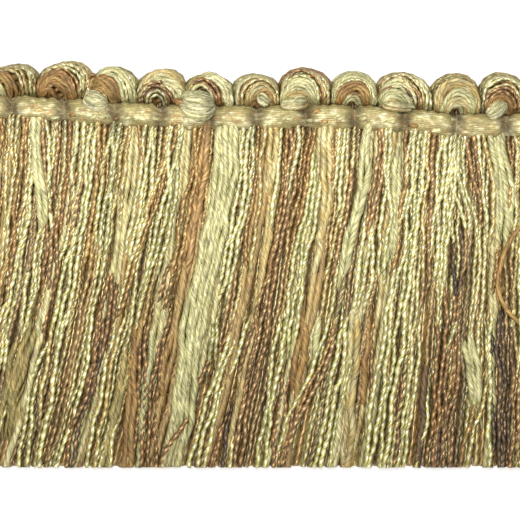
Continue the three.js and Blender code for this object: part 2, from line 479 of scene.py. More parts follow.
# %% The path and the twist
# No two yarns are quite the same: their pitch and width lie between these shares.
PITCH_SPREAD = (0.95, 1.07)
WIDTH_SPREAD = (0.93, 1.07)
THIN_END = 0.35
# The twist comes and goes along a yarn, and opens a little towards the cut.
TWIST_DRIFT = 0.5
TWIST_WAVE = 12
UNTWIST = 0.12


def spaced(path, step):
    """The path again, with points at even distances of about step."""
    lengths = np.concatenate([[0], np.cumsum(np.linalg.norm(np.diff(path, axis=0), axis=1))])
    stations = np.linspace(0, lengths[-1], max(4, math.ceil(lengths[-1] / step) + 1))
    points = np.stack([np.interp(stations, lengths, path[:, k]) for k in range(3)], axis=1)
    return points, stations


def drift(random, along, wave):
    """Slow random rise and fall between -1 and 1 along a yarn, from three waves."""
    total = np.zeros_like(along)
    for k in range(3):
        total += np.sin(2 * np.pi * (along / (wave * (1 - 0.27 * k)) + random.random()))
    return total / 3


def sideways(points):
    """The level direction across a path, and the one up from it, at each of its points."""
    ahead = np.gradient(points, axis=0)
    ahead /= np.linalg.norm(ahead, axis=1, keepdims=True)
    across = np.cross(ahead, UP)
    across /= np.linalg.norm(across, axis=1, keepdims=True)
    return across, np.cross(across, ahead)


def thinned(along, taper):
    """The share of its width that a yarn has, thin at the ends that taper gives a length."""
    thin = np.ones_like(along)
    for length, from_end in zip(taper, (along, along[-1] - along)):
        if length:
            thin = thin * mix(THIN_END, 1, smooth(np.minimum(1, from_end / length)))
    return thin


# %% A yarn's colours, with their painted light and shade
# A yarn is mixed with a second dye, more in some plies than in others and more in some
# places along it, and its plies differ in depth.
DRIFT_SHARE = 0.3
DRIFT_WAVE = 26
PLY_SHARE = 0.6
PLY_DEPTH = 0.16
DEPTH_DRIFT = 0.12
DEPTH_WAVE = 9
# How much painted light a yarn gets close to the heading, and how much painted shade at the cut,
# where it lies in shadow, and how much softer its painted shades are close to the heading.
TOP_PAINTED_LIGHT = 1.06
CUT_PAINTED_SHADE = 0.87
TOP_SOFTNESS = 0.2
# How far round its side a yarn still gets painted light from above.
WRAP = 0.4
# The colour of the painted highlight that the hard plies send back, and of the painted bounce light between
# deep yarns.
GLINT = np.array([1.0, 0.96, 0.78])
HAZE = np.array([0.53, 0.40, 0.175])
HAZE_FALL = 0.65


def shaded(kind, dye, random, along, points, angle, dim, cut_shade, haze):
    """The colours of a yarn's rings with their painted light and shade, from the place and the turn of their
    points.
    """
    down = down_skirt(points[:, 1])
    ply = np.arange(len(kind["lobes"])) * kind["plies"] // len(kind["lobes"])
    ply_share = random.uniform(0, PLY_SHARE, kind["plies"])[ply]
    ply_depth = random.uniform(1 - PLY_DEPTH, 1 + PLY_DEPTH, kind["plies"])[ply]
    share = np.clip(ply_share[None, :] + DRIFT_SHARE * drift(random, along, DRIFT_WAVE)[:, None], 0, 1)
    face, groove_shade = (
        mix(np.array(own), np.array(second), share[..., None])
        for own, second in zip(DYES_AND_GROOVE_SHADES[dye], DYES_AND_GROOVE_SHADES[DRIFTS[dye]])
    )
    # A painted highlight: the pale dyes of a sort with white are whitened towards the glint colour.
    face = mix(face, GLINT, kind["white"] * face[..., 2:])
    # Painted light and shade: a point is lighter the more it faces up, with painted shade in grooves and
    # sides, narrowed into a painted highlight bead and softened near the heading.
    lit = smooth(np.clip((np.sin(angle) + WRAP) / (1 + WRAP), 0, 1))
    light = np.array(kind["shade"]) * mix(kind["side_light"], 1, lit)
    light = light ** (1 + kind["sharp"])
    light = mix(light, 1, TOP_SOFTNESS * (1 - down)[:, None])
    # Painted light falls off from the heading to painted shade at the cut, and painted shadow lies beside the
    # stitches; dim, the plies and the drift give the yarn's own tone.
    painted_falloff = mix(TOP_PAINTED_LIGHT, CUT_PAINTED_SHADE * cut_shade, down)
    depth = dim * ply_depth * ((1 + DEPTH_DRIFT * drift(random, along, DEPTH_WAVE)) * painted_falloff)[:, None]
    depth = depth * in_shadow(points[:, 0], points[:, 1])[:, None]
    colours = mix(groove_shade, face, light[..., None]) * depth[..., None]
    # Deep layers take on a painted bounce light, less of it towards the cut.
    return mix(colours, HAZE, haze * (1 - HAZE_FALL * down)[:, None, None])


# %% A whole yarn
# Yarns start at different places of the material's pattern, up to this far along it.
PATTERN_SPREAD = 50


def yarn(path, sort, dye, random, width=1.0, dim=1.0, hand=1, taper=(0, 0), cut_shade=1.0, haze=0.0):
    """The rings of one yarn: points, colours and UV, worked out along its path. Over the
    lengths in taper its ends grow thin, where they sink between other yarns, and a painted shade
    makes it darker at the cut by the share in fade. In deep layers its colour gives way to a
    painted bounce light, that which the yarns around it send on, by the share in haze."""
    kind = SORTS[sort]
    pitch = kind["pitch"] * random.uniform(*PITCH_SPREAD)
    points, along = spaced(path, pitch / kind["steps"])
    across, above = sideways(points)
    turns = along / pitch / (1 + UNTWIST * down_skirt(points[:, 1]))
    turn = random.random() * 2 * np.pi + hand * kind["hand"] * 2 * np.pi * turns
    turn = turn + TWIST_DRIFT * drift(random, along, TWIST_WAVE)
    lobes = np.array(kind["lobes"])
    angle = turn[:, None] + 2 * np.pi * np.arange(len(lobes)) / len(lobes)
    half = width * random.uniform(*WIDTH_SPREAD) * kind["width"] / 2
    radius = half * lobes * thinned(along, taper)[:, None]
    rings = points[:, None, :] + (radius * np.cos(angle))[..., None] * across[:, None, :]
    rings = rings + (kind["flat"] * radius * np.sin(angle))[..., None] * above[:, None, :]
    rings[..., 1] = np.maximum(rings[..., 1], CUT_LINE)
    colours = shaded(kind, dye, random, along, points, angle, dim, cut_shade, haze)
    length = along / (np.pi * width * kind["width"]) + PATTERN_SPREAD * random.random()
    return {"points": rings, "colours": colours, "length": length, "finish": kind["finish"]}


# %% Joining yarns into a piece
FINISHES = (cord_finish, silk_finish)


def finish_piece(piece, node):
    """Every piece rides on the trim's one body and stands for a CAD node."""
    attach(piece, "root")
    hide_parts(node)
    triangles = sum(len(face.vertices) - 2 for face in piece.data.polygons)
    print(f"{piece.name}: {triangles} triangles")
    return piece


def join_yarns(name, yarns, node):
    """One mesh of many yarns. Sides are squares between rings, and a flat face closes each end.
    Each yarn's faces are counted on from those of the yarns before it."""
    points, colours, corners, starts, uvs, finishes, ends = [], [], [], [], [], [], []
    first = corner = 0
    for one in yarns:
        rings, sides = one["points"].shape[:2]
        index = first + np.arange(rings * sides).reshape(rings, sides)
        a, b = index[:-1], index[1:]
        squares = np.stack([a, b, np.roll(b, -1, 1), np.roll(a, -1, 1)], axis=-1)
        # U goes once round the yarn, and V is the length along it.
        u = np.broadcast_to(np.arange(sides) / sides, a.shape)
        v0 = np.broadcast_to(one["length"][:-1, None], a.shape)
        v1 = np.broadcast_to(one["length"][1:, None], a.shape)
        uv = np.stack([u, v0, u, v1, u + 1 / sides, v1, u + 1 / sides, v0], axis=-1)
        caps = np.stack([index[0], index[-1][::-1]])
        cap_uv = np.stack([np.full(2 * sides, 0.5), np.repeat(one["length"][[0, -1]], sides)], axis=-1)
        corners += [squares.ravel(), caps.ravel()]
        uvs += [uv.ravel(), cap_uv.ravel()]
        count = a.size
        starts += [corner + 4 * np.arange(count), corner + 4 * count + sides * np.arange(2)]
        corner += 4 * count + 2 * sides
        finishes.append(np.full(count + 2, one["finish"]))
        ends.append(np.concatenate([np.ones(count, bool), np.zeros(2, bool)]))
        points.append(one["points"].reshape(-1, 3))
        colours.append(one["colours"].reshape(-1, 3))
        first += rings * sides
    points = np.concatenate(points) * MM
    colours = np.concatenate(colours)
    corners = np.concatenate(corners).astype(np.int32)
    starts = np.concatenate(starts).astype(np.int32)
    mesh = bpy.data.meshes.new(name)
    mesh.vertices.add(len(points))
    mesh.vertices.foreach_set("co", points.ravel())
    mesh.loops.add(len(corners))
    mesh.loops.foreach_set("vertex_index", corners)
    mesh.polygons.add(len(starts))
    mesh.polygons.foreach_set("loop_start", starts)
    mesh.polygons.foreach_set("material_index", np.concatenate(finishes).astype(np.int32))
    mesh.polygons.foreach_set("use_smooth", np.concatenate(ends))
    mesh.uv_layers.new(name="yarn").data.foreach_set("uv", np.concatenate(uvs))
    # The dye attribute carries the colours with their painted light and shade.
    rgba = np.concatenate([colours, np.ones((len(colours), 1))], axis=1)
    mesh.attributes.new("dye", "FLOAT_COLOR", "POINT").data.foreach_set("color", rgba.ravel())
    mesh.update(calc_edges=True)
    mesh.validate()
    for finish in FINISHES:
        mesh.materials.append(finish)
    piece = bpy.data.objects.new(name, mesh)
    bpy.context.scene.collection.objects.link(piece)
    return finish_piece(piece, node)


# %% [markdown]
# ## The skirt
#
# The skirt is three layers of cut yarns that lie on each other. They hang from the heading,
# lean to the left, more so at the left end, and are cut off along one straight line. Towards
# the cut they draw together into locks, with dark gaps between them.
#
# The back layer only closes the gaps, and is drawn by lot from the darker dyes. The middle
# layer is listed lock by lock, like a weaver's plan: from left to right, how many yarns lie
# together, their dye and their sort. The front is bundles, and comes last.

# %% The threading plan
# Locks in the dark dye are painted shade in the gaps between the others.
THREADING = """
1 gold cord, 1 brown cord, 1 celadon silk, 1 copper cord, 2 olive silk, 1 brown cord,
2 celadon cord, 2 dark cord, 2 cream cord, 1 gold cord, 1 copper cord, 1 cream silk,
2 dark cord, 2 gold cord, 1 brown cord, 1 copper cord, 2 cream cord, 3 celadon silk,
1 copper silk, 4 celadon cord, 1 copper cord, 3 celadon silk, 2 copper silk, 1 brown silk,
1 copper cord, 5 celadon silk, 2 brown cord, 1 cream cord, 2 copper silk, 2 gold silk,
3 brown cord, 2 copper cord, 2 cream silk, 1 gold silk, 1 copper silk, 1 brown cord,
1 gold cord, 2 celadon cord, 2 dark cord, 2 cream silk, 2 brown cord, 1 gold silk,
2 celadon silk, 1 copper cord, 3 cream cord, 1 brown cord, 1 copper cord, 2 cream cord,
2 celadon cord, 1 umber cord, 1 dark cord, 3 cream cord, 2 celadon silk, 2 umber cord, 1 olive cord,
3 brown cord, 2 dark cord, 1 celadon cord, 1 copper silk, 2 gold silk, 1 dark cord
"""
locks = []
for entry in THREADING.replace("\n", " ").split(","):
    count, dye, sort = entry.split()
    locks.append((int(count), dye, sort))
middle_count = sum(lock[0] for lock in locks)
print(middle_count, "yarns in", len(locks), "locks")

# %% The skirt's courses
ROOT_UNDER = 1.2
DROP = 64
STRAIGHT_LEAN = 0.4
LEAN_PLACES = np.array([-54, -34, -4, 22, 33, 46])
LEAN_LEFT = np.array([13.5, 12.5, 10.5, 8.0, 3.5, 1.5])
# Close under the ribbon the front yarns swell with it.
ROOT_SWELL = 0.75
ROOT_SWELL_DOWN = 9
# A yarn sways in a long wave and a shorter, smaller one, and is finely crimped.
SWAY_WAVES = (50, 20)
SECOND_SWAY = 0.6
CRIMP = 0.1
CRIMP_WAVE = 5
ROLL = 0.12
ROLL_WAVE = 30


def sway(random, along, waves):
    """A yarn's slow wandering from side to side."""
    return drift(random, along, waves[0]) + SECOND_SWAY * drift(random, along, waves[1])


def course(root, random, level, lean=1.0, shift=0.0, pile=0.0, loose=0.5):
    """The path of one skirt yarn, from under the ribbon to the cut. It ends up shifted to
    the right, and lifted onto its neighbours by pile."""
    t = np.linspace(0, 1, 80)
    y = mix(rise(root) - ROOT_UNDER, CUT_LINE - CUT_PAST, t)
    swing = lean * ease(root, LEAN_PLACES, LEAN_LEFT) * mix(t * t, t, STRAIGHT_LEAN)
    down = t * DROP
    # The first quarter of a yarn is held by its neighbours, and sways less.
    wander = loose * sway(random, down, SWAY_WAVES) * smooth(np.minimum(1, 4 * t))
    crimp = CRIMP * drift(random, down, CRIMP_WAVE)
    x = root - swing + wander + crimp + shift * smooth(t)
    z = level + pile * smooth(t) + ROLL * drift(random, down, ROLL_WAVE)
    z = z + ROOT_SWELL * swell(root) * level / FACE_LEVEL * np.exp(-down / ROOT_SWELL_DOWN)
    return np.stack([x, y, z], axis=1)


def evenly_down(share):
    """The root of the yarn that lies at this share of the skirt's width half way down it, so
    that a layer has no thin places where the lean changes."""
    roots = np.linspace(-heading_length / 2, heading_length / 2, 200)
    half_way = roots - 0.5 * ease(roots, LEAN_PLACES, LEAN_LEFT)
    return float(np.interp(mix(half_way[0], half_way[-1], share), half_way, roots))


def in_parts(name, yarns, sides):
    """Joins a layer's yarns as one piece for each side, so that none grows too large."""
    part = len(yarns) // len(sides)
    for k, side in enumerate(sides):
        end = None if k == len(sides) - 1 else (k + 1) * part
        join_yarns(f"{name}_{side}", yarns[k * part:end], "skirt")


# %% Back layer
# The back layer's darker dyes are partly painted shade for the gaps, and its yarns get painted bounce light.
BACK = {
    "yarns": 112, "level": 0.62, "width": 1.3, "haze": 0.8, "lean": 0.93, "loose": 0.12,
    "dyes": ["dark", "umber", "olive", "umber", "dark"],
}

random = np.random.default_rng(11)
yarns = []
for i in range(BACK["yarns"]):
    root = evenly_down((i + 0.5) / BACK["yarns"])
    dye = BACK["dyes"][random.integers(len(BACK["dyes"]))]
    path = course(root, random, BACK["level"], lean=BACK["lean"], loose=BACK["loose"])
    yarns.append(yarn(path, "plain", dye, random, width=BACK["width"], haze=BACK["haze"]))
in_parts("skirt_back", yarns, ("left", "right"))

# %% Middle layer
# The middle layer gets painted shade towards the cut, and painted bounce light.
MIDDLE = {"level": 2.42, "haze": 0.42, "cut_shade": 0.62, "uneven": 0.12, "pile": (-0.3, 0.5)}
# A lock's yarns draw together towards the cut. The lock as a whole and each yarn of it end
# up off to one side, and a lock lies higher or leans more than the next.
LOCK = {"pull": 0.4, "shift": 0.9, "yarn_shift": 0.45, "lift": 0.2, "lean": (0.93, 1.06)}

random = np.random.default_rng(5)
yarns = []
pitch = heading_length / middle_count
at = 0
for count, dye, sort in locks:
    middle = (at + count / 2) * pitch - heading_length / 2
    shift = random.uniform(-LOCK["shift"], LOCK["shift"])
    level = MIDDLE["level"] + random.uniform(-LOCK["lift"], LOCK["lift"])
    lean = random.uniform(*LOCK["lean"])
    for i in range(count):
        root = (at + i + 0.5) * pitch - heading_length / 2
        root += random.uniform(-MIDDLE["uneven"], MIDDLE["uneven"])
        own_shift = random.uniform(-LOCK["yarn_shift"], LOCK["yarn_shift"])
        pile = random.uniform(*MIDDLE["pile"])
        ends_off = shift + LOCK["pull"] * (middle - root) + own_shift
        path = course(root, random, level, lean=lean, shift=ends_off, pile=pile)
        yarns.append(yarn(path, sort, dye, random, cut_shade=MIDDLE["cut_shade"], haze=MIDDLE["haze"]))
    at += count
in_parts("skirt_middle", yarns, ("left", "right"))

# %% [markdown]
# The front of the skirt is bundles of yarns that come forward, lie on the others for a while
# and sink between them again. Each is set down by its number of yarns, dye and sort, and by
# the few places it passes, read off the photograph: pixels across, then down. A place
# without a second number is where the bundle leaves the heading or reaches the cut.

# %% The bundles
# Bundles in the dark dye are painted shade in the gaps between the others.
BUNDLES = """
2 gold cord: 12, 8 200, -2 290, -30 400, -50
2 copper cord: -2, -8 200, -22 290, -48 400, -66
2 celadon cord: -9, -16 200, -32 290, -58 400, -78
2 gold cord: 22, 16 180, 6 250, -8 320, -36
1 brown cord: 27, 25 180, 14 250, 4 310, -24
2 cream cord: 33, 30 180, 18 240, 4 310, -18 400, -30
2 celadon silk: 36, 38 170, 43 215, 45 245
3 umber cord: 54 205, 52 240, 48 285, 43 310
1 brown cord: 41, 46 165, 49 210, 51 250
1 cream cord: 45, 50 180, 50 230, 47 290
2 celadon cord: 56, 54 170, 52 215
1 copper cord: 70, 68 170, 62 215, 57 255
1 gold cord: 65, 63 170, 58 215, 53 255
1 celadon cord: 79, 73 165, 70 215, 60 270, 52 300
2 brown cord: 84 140, 78 180, 72 220, 66 260
3 celadon cord: 91, 86 170, 78 230, 66 290, 50 360
2 copper cord: 101, 99 180, 93 230, 84 290
3 celadon cord: 116, 108 180, 101 235, 96 275
2 gold cord: 129, 121 180, 115 225, 111 255
1 copper cord: 137, 142 150, 146 185
3 cream cord: 149, 145 180, 136 230, 124 290
1 copper cord: 168, 157 185, 139 235, 122 285
1 copper cord: 176, 162 185, 145 235, 128 285, 114 350
1 gold cord: 171, 157 185, 140 235, 123 285, 109 350
3 celadon cord: 178, 171 190, 157 250, 143 300
2 umber cord: 184 225, 175 260, 166 290, 157 330
2 copper cord: 198, 193 180, 182 235, 170 290
2 brown chain: 207, 201 180, 190 235, 178 290
5 celadon silk: 228, 223 190, 210 250, 199 300, 190 350, 182 410, 174 450
1 brown cord: 244, 239 185, 236 215
3 cream cord: 250, 243 190, 232 250, 219 310
1 copper cord: 258, 254 190, 246 250, 237 300
1 gold cord: 264, 260 190, 252 250, 243 300
2 gold silk: 272, 271 170, 262 220
2 brown cord: 293, 292 170, 282 230, 269 290, 259 350, 248 400, 235
1 copper cord: 287, 286 170, 276 230, 263 290, 253 350, 242 400, 229
1 cream cord: 281, 279 170, 271 220, 262 260
1 cream cord: 298, 294 170, 285 220
2 copper cord: 315, 306 165, 296 215, 282 260
3 celadon cord: 320 135, 312 200, 303 250, 292 310, 288 350, 286 375
2 gold silk: 327, 326 190, 321 240, 314 290
1 copper cord: 333, 331 190, 322 240, 311 290
2 cream cord: 342, 337 190, 329 240
1 brown cord: 355 135, 349 200, 337 250, 325 300
1 gold cord: 350 135, 343 200, 331 250, 319 300
2 celadon chain: 366, 363 180, 350 240, 338 290
3 cream cord: 373 195, 368 240, 362 290, 354 330
2 brown cord: 380, 377 180, 366 235, 352 265
2 cream cord: 388, 387 190, 383 250, 378 300
2 celadon silk: 398 130, 397 190, 392 240, 384 290
1 copper cord: 407, 403 200, 395 250, 386 300
4 cream cord: 418, 413 190, 405 250, 396 310, 388 370, 378 440, 374
1 gold cord: 428, 426 190, 423 240, 421 300
1 brown cord: 434, 432 190, 429 240, 427 300
4 cream cord: 448, 445 190, 439 250, 434 300
1 cream cord: 455, 453 150, 449 195, 446 240
3 celadon cord: 461, 458 185, 468 215, 473 260
2 umber cord: 471, 475 175, 482 210, 476 250
1 cream cord: 478, 480 160, 486 210, 482 260
1 gold cord: 484, 487 160, 493 210, 490 260
4 celadon silk: 496, 502 180, 504 258
2 copper cord: 506 225, 500 260, 496 300, 500 320
2 gold cord: 512, 513 180, 512 240, 510 275
2 cream cord: 36 245, 31 280, 25 315, 17 350
2 cream cord: 10 305, 4 345, -4 390
4 olive silk: 31 320, 24 345, 16 375, 8 400, 2 430
1 celadon silk: 43 285, 38 330, 30 365
1 umber cord: 49 285, 45 330, 38 370
3 olive silk: 28 370, 18 410, 12 450
2 cream cord: 40 355, 33 390, 27 430, 24
1 cream cord: 55 318, 46 345, 32 375, 18 410
2 umber cord: 66 290, 54 340, 46 390, 36 440
1 cream cord: 70 300, 58 350, 50 400, 40
1 cream cord: 97 300, 86 360, 78 400, 68 430, 58
1 dark cord: 103 290, 101 340, 90 400, 76 440, 70
1 umber cord: 98 290, 96 340, 85 400, 71 440, 65
2 gold cord: 121 300, 113 350, 101 410, 89
3 umber cord: 117 255, 111 290, 105 330, 95 385, 88 410
2 olive silk: 127 320, 123 380, 114 420, 104
2 cream cord: 117 405, 109 440, 104
2 copper silk: 139 300, 135 350, 132 400, 126
2 umber cord: 146 300, 144 350, 141 400, 135
1 celadon silk: 153 300, 150 350, 145 400, 138
2 umber cord: 167 300, 159 360, 153 410, 150
1 copper silk: 176 310, 166 360, 161 420
1 umber cord: 214 345, 200 385, 186 420, 168 447, 160
2 umber cord: 226 385, 217 420, 211 445, 207
2 celadon cord: 217 295, 214 350, 209 390
1 copper cord: 238 300, 222 350, 205 385
2 umber cord: 262 290, 254 330, 244 370, 234 400
3 cream cord: 246 310, 234 345, 218 385, 204 430, 198
2 dark cord: 232 400, 224 430, 218
1 cream cord: 240 400, 234 430, 228
2 celadon cord: 284 295, 279 350, 270 400, 259
3 umber cord: 293 345, 290 380, 284 420, 278
2 copper silk: 303 298, 301 350, 294 395, 288 420
2 celadon chain: 316 295, 313 350, 306 385
2 cream cord: 336 300, 322 350, 303 395, 288 430, 276
1 brown cord: 343 300, 328 355, 308 400, 292 435, 282
3 celadon cord: 350 300, 344 350, 334 400, 322
2 gold chain: 357 300, 355 350, 349 400, 346
1 copper silk: 368 295, 367 350, 364 400, 361 440
1 umber cord: 373 295, 372 350, 370 400, 367 440
2 celadon cord: 393 315, 388 350, 383 395
2 umber cord: 408 310, 403 370, 394 430, 390
2 cream cord: 421 305, 413 370, 405 430, 401
1 dark silk: 428 340, 424 390, 420 430, 418
1 cream cord: 430 380, 425 420, 418
1 dark cord: 443 300, 441 360, 440 410, 438
1 umber cord: 438 300, 436 360, 435 410, 433
3 umber cord: 452 275, 452 320, 448 370, 445 410, 442
1 celadon cord: 471 290, 457 325, 444 360, 436 390
3 umber cord: 460 320, 453 360, 445 400, 437 440, 432
3 celadon silk: 467 312, 470 350, 474 390, 478 430
2 cream cord: 490 360, 481 400, 470 435, 462
2 dark cord: 495 300, 495 360, 495 410, 494
2 cream cord: 484 325, 486 365, 484 400
2 dark cord: 507 300, 507 360, 507 410, 506
1 cream cord: 490 290, 490 350, 489 400, 488
1 dark cord: 500 290, 500 350, 500 400, 501
1 cream cord: 512 290, 512 325, 512 355
2 umber cord: 518 330, 516 400, 515
2 dark cord: 459 205, 458 250, 455 300, 452 325
3 celadon cord: 530, 528 200, 526 300, 525
2 brown cord: 543, 542 200, 540 300, 539
3 gold cord: 556, 556 200, 554 300, 553
3 celadon cord: 571, 571 200, 570 300, 569
"""
# The photograph's scale, and where its left side and its heading lie in the frame.
PIXEL = 0.188
PHOTO_LEFT = -53.3
PHOTO_HEADING = 117
print(len(BUNDLES.split("\n")) - 2, "bundles")


# %% Reading the table
def from_photo(across, down):
    """A place in the photograph, in pixels, as millimetres in the frame."""
    return PHOTO_LEFT + PIXEL * across, PIXEL * (PHOTO_HEADING - down)


def through(places, values, at):
    """A smooth curve through the values at the places, which rise."""
    i = np.clip(np.searchsorted(places, at, side="right") - 1, 0, len(places) - 2)
    gap = places[i + 1] - places[i]
    t = (at - places[i]) / gap
    slopes = np.gradient(values, places)
    start = (1 + 2 * t) * (1 - t) ** 2 * values[i] + t * (1 - t) ** 2 * gap * slopes[i]
    end = t * t * (3 - 2 * t) * values[i + 1] + t * t * (t - 1) * gap * slopes[i + 1]
    return start + end


def read_bundle(line):
    """One line of the table: yarns, dye, sort, the places passed and which ends show."""
    look, course_text = line.split(":")
    count, dye, sort = look.split()
    fields = [[float(number) for number in part.split()] for part in course_text.split(",")]
    rooted, cut = len(fields[0]) == 1, len(fields[-1]) == 1
    passes = []
    for k, field in enumerate(fields):
        x = from_photo(field[0], 0)[0]
        if len(field) == 2:
            passes.append(from_photo(*field))
        else:
            passes.append((x, CUT_LINE) if k else (x, float(rise(x)) - ROOT_UNDER))
    return int(count), dye, sort, np.array(passes)[::-1], rooted, cut


# %% Front layer
# A chain is two soft yarns that twist opposite ways. Cords spread apart towards the cut.
SPACINGS = {"cord": 0.94, "silk": 0.84, "chain": 0.95}
SPREADS = {"cord": 0.4, "silk": 0, "chain": 0}
# Where a bundle's end doesn't show, it sinks between the others over this length.
SINK = 1.7
SINK_LENGTH = 8.0
FRONT = {
    "level": 2.9, "lift": (-0.2, 0.35), "own_lift": (-0.15, 0.25), "roll": 0.3, "roll_wave": 24,
    "waves": (34, 13), "loose": 0.48, "starts": (-1, 2.5), "stops": (-2.5, 1), "step": 0.8,
    "silk_cut_shade": 0.78,
}
# A few yarns of another dye have strayed into the bundles.
STRAYS = {"share": 0.16, "dyes": ["gold", "copper", "cream", "brown", "celadon"]}


def bundle_yarn(aside, sort, passes, rooted, cut, lift, random):
    """The path of one yarn of a bundle, aside by so many yarns from the bundle's middle."""
    x_places, y_places = passes.T
    top = y_places[-1] + (0 if rooted else random.uniform(*FRONT["starts"]))
    end = y_places[0] + (-CUT_PAST if cut else random.uniform(*FRONT["stops"]))
    y = np.linspace(top, end, max(12, int((top - end) / FRONT["step"])))
    down = top - y
    spread = aside * (SPACINGS[sort] * (1 + SPREADS[sort] * smooth(down_skirt(y))))
    wander = FRONT["loose"] * sway(random, down, FRONT["waves"])
    x = through(y_places, x_places, np.clip(y, y_places[0], y_places[-1])) + spread + wander
    x = x + CRIMP * drift(random, down, CRIMP_WAVE)
    z = FRONT["level"] + lift + FRONT["roll"] * drift(random, down, FRONT["roll_wave"])
    z = z + random.uniform(*FRONT["own_lift"])
    z = z + ROOT_SWELL * swell(x) * np.exp(-(rise(x) - y) / ROOT_SWELL_DOWN)
    for shows, from_end in ((rooted, down), (cut, y - end)):
        if not shows:
            z = z - SINK * (1 - smooth(np.minimum(1, from_end / SINK_LENGTH)))
    return np.stack([x, y, z], axis=1)


random = np.random.default_rng(23)
yarns = []
for line in BUNDLES.strip().splitlines():
    count, dye, sort, passes, rooted, cut = read_bundle(line)
    lift = random.uniform(*FRONT["lift"])
    section = "silk" if sort == "chain" else sort
    # Silks get more painted shade at the cut.
    cut_shade = FRONT["silk_cut_shade"] if section == "silk" else 1
    taper = (0 if rooted else SINK_LENGTH, 0 if cut else SINK_LENGTH)
    for i in range(count):
        path = bundle_yarn(i - (count - 1) / 2, sort, passes, rooted, cut, lift, random)
        hand = -1 if sort == "chain" and i % 2 else 1
        stray = section == "cord" and count > 1 and random.random() < STRAYS["share"]
        own_dye = STRAYS["dyes"][random.integers(len(STRAYS["dyes"]))] if stray else dye
        yarns.append(yarn(path, section, own_dye, random, hand=hand, taper=taper, cut_shade=cut_shade))
in_parts("skirt_front", yarns, ("left", "middle", "right"))

# %% [markdown]
# One loose yarn hangs in a bow over the others, close to the right of the picture.

# %% A loose yarn
LOOSE_YARN = [(523, 222), (508, 243), (499, 268), (497, 290), (505, 308), (524, 328)]
LOOSE = {"level": 4.2, "droop": 1.6, "width": 0.7, "points": 40}

places = np.array([from_photo(*place) for place in LOOSE_YARN])[::-1]
y = np.linspace(places[-1, 1], places[0, 1], LOOSE["points"])
x = through(places[:, 1], places[:, 0], y)
z = LOOSE["level"] - LOOSE["droop"] * np.abs(np.linspace(-1, 1, LOOSE["points"])) ** 3
path = np.stack([x, y, z], axis=1)
join_yarns("loose_yarn", [yarn(path, "silk", "copper", random, width=LOOSE["width"])], "skirt")

# %% [markdown]
# ## The heading
#
# Behind the ribbon the yarns are held by a narrow tape. Its back doesn't show in the
# photograph, and is finished plainly: four yarns in rows, over a core that closes the
# heading's ends. The core is a rounded bar, remeshed into even steps so that it can follow
# the heading's rise.

# %% Heading tape
CHAIN_LEVEL = 0.46
CHAIN_ROWS = (-1.75, -0.95, -0.15, 0.65)
END_INSET = 0.1

random = np.random.default_rng(31)
run = np.linspace(-heading_length / 2 + END_INSET, heading_length / 2 - END_INSET, 220)
yarns = []
for i, row in enumerate(CHAIN_ROWS):
    path = np.stack([run, rise(run) + row, np.full_like(run, CHAIN_LEVEL)], axis=1)
    # Every other row runs back the way the last one came.
    path = path[::-1] if i % 2 else path
    yarns.append(yarn(path, "plain", "gold", random, width=0.8, dim=0.8))
join_yarns("heading_chain", yarns, "skirt")

# %% The tape's core
CORE = {"bottom": -2.0, "top": 1.0, "back": 0.75, "front": 2.9, "round": 0.5, "step": 0.45}
# The binding threads wrap the tape, so its surface is a row of fine ribs.
RIB = {"wave": 0.7, "height": 0.05}
CORE_PATTERN = 4.0

deselect()
bpy.ops.mesh.primitive_cube_add(size=1)
core = bpy.context.object
core.name = "heading_core"
core_size = (heading_length - 2 * END_INSET, CORE["top"] - CORE["bottom"], CORE["front"] - CORE["back"])
core.scale = [side * MM for side in core_size]
bpy.ops.object.transform_apply(location=False, rotation=False, scale=True)
bpy.ops.object.mode_set(mode="EDIT")
bpy.ops.mesh.select_all(action="SELECT")
bpy.ops.mesh.bevel(offset=CORE["round"] * MM, segments=3, profile=0.6)
bpy.ops.object.mode_set(mode="OBJECT")
steps = core.modifiers.new("steps", "REMESH")
steps.mode = "VOXEL"
steps.voxel_size = CORE["step"] * MM
bpy.ops.object.modifier_apply(modifier="steps")
places = np.array([vertex.co for vertex in core.data.vertices]) / MM
places[:, 1] += rise(places[:, 0]) + (CORE["top"] + CORE["bottom"]) / 2
places[:, 2] += (CORE["back"] + CORE["front"]) / 2
places[:, 2] += RIB["height"] * np.sin(2 * np.pi * places[:, 0] / RIB["wave"])
core.data.vertices.foreach_set("co", (places * MM).ravel())
colour = np.tile([*DYES_AND_GROOVE_SHADES["olive"][0], 1.0], (len(places), 1))
core.data.attributes.new("dye", "FLOAT_COLOR", "POINT").data.foreach_set("color", colour.ravel())
uv_places = np.array([places[loop.vertex_index][:2] for loop in core.data.loops])
uv_places /= np.array([RIB["wave"], CORE_PATTERN])
core.data.uv_layers.new(name="yarn").data.foreach_set("uv", uv_places[:, ::-1].ravel())
core.data.update()
deselect()
core.select_set(True)
bpy.context.view_layer.objects.active = core
bpy.ops.object.shade_smooth()
core.data.materials.append(cord_finish)
finish_piece(core, "skirt")

# %% [markdown]
# ## The loops
#
# Above the heading the yarns turn back in fat loops. A loop is a bundle of yarns bent over
# together, thick from back to front. The CAD loop gives the bundle's outline. Cords in arches
# make its rim, plain yarns fill it so that nothing shows through, and the yarns on its front
# are laid one by one along the places where they run in the photograph.
#
# In some loops a hank of soft yarn has slipped forward and hangs over the ribbon's edge. It
# is a bun: yarns that run from one side to the other and bulge in the middle.

# %% What each loop is made of
# The dyes of the arches along each loop's rim, from the back to the front.
RIMS = [
    "olive gold olive gold", "olive gold olive gold", "olive celadon celadon cream",
    "olive gold celadon gold", "olive celadon cream celadon", "olive celadon gold celadon",
    "umber umber brown gold",
    "celadon celadon cream celadon", "olive gold brown gold", "olive olive celadon olive",
    "olive celadon olive celadon", "gold olive gold olive",
]
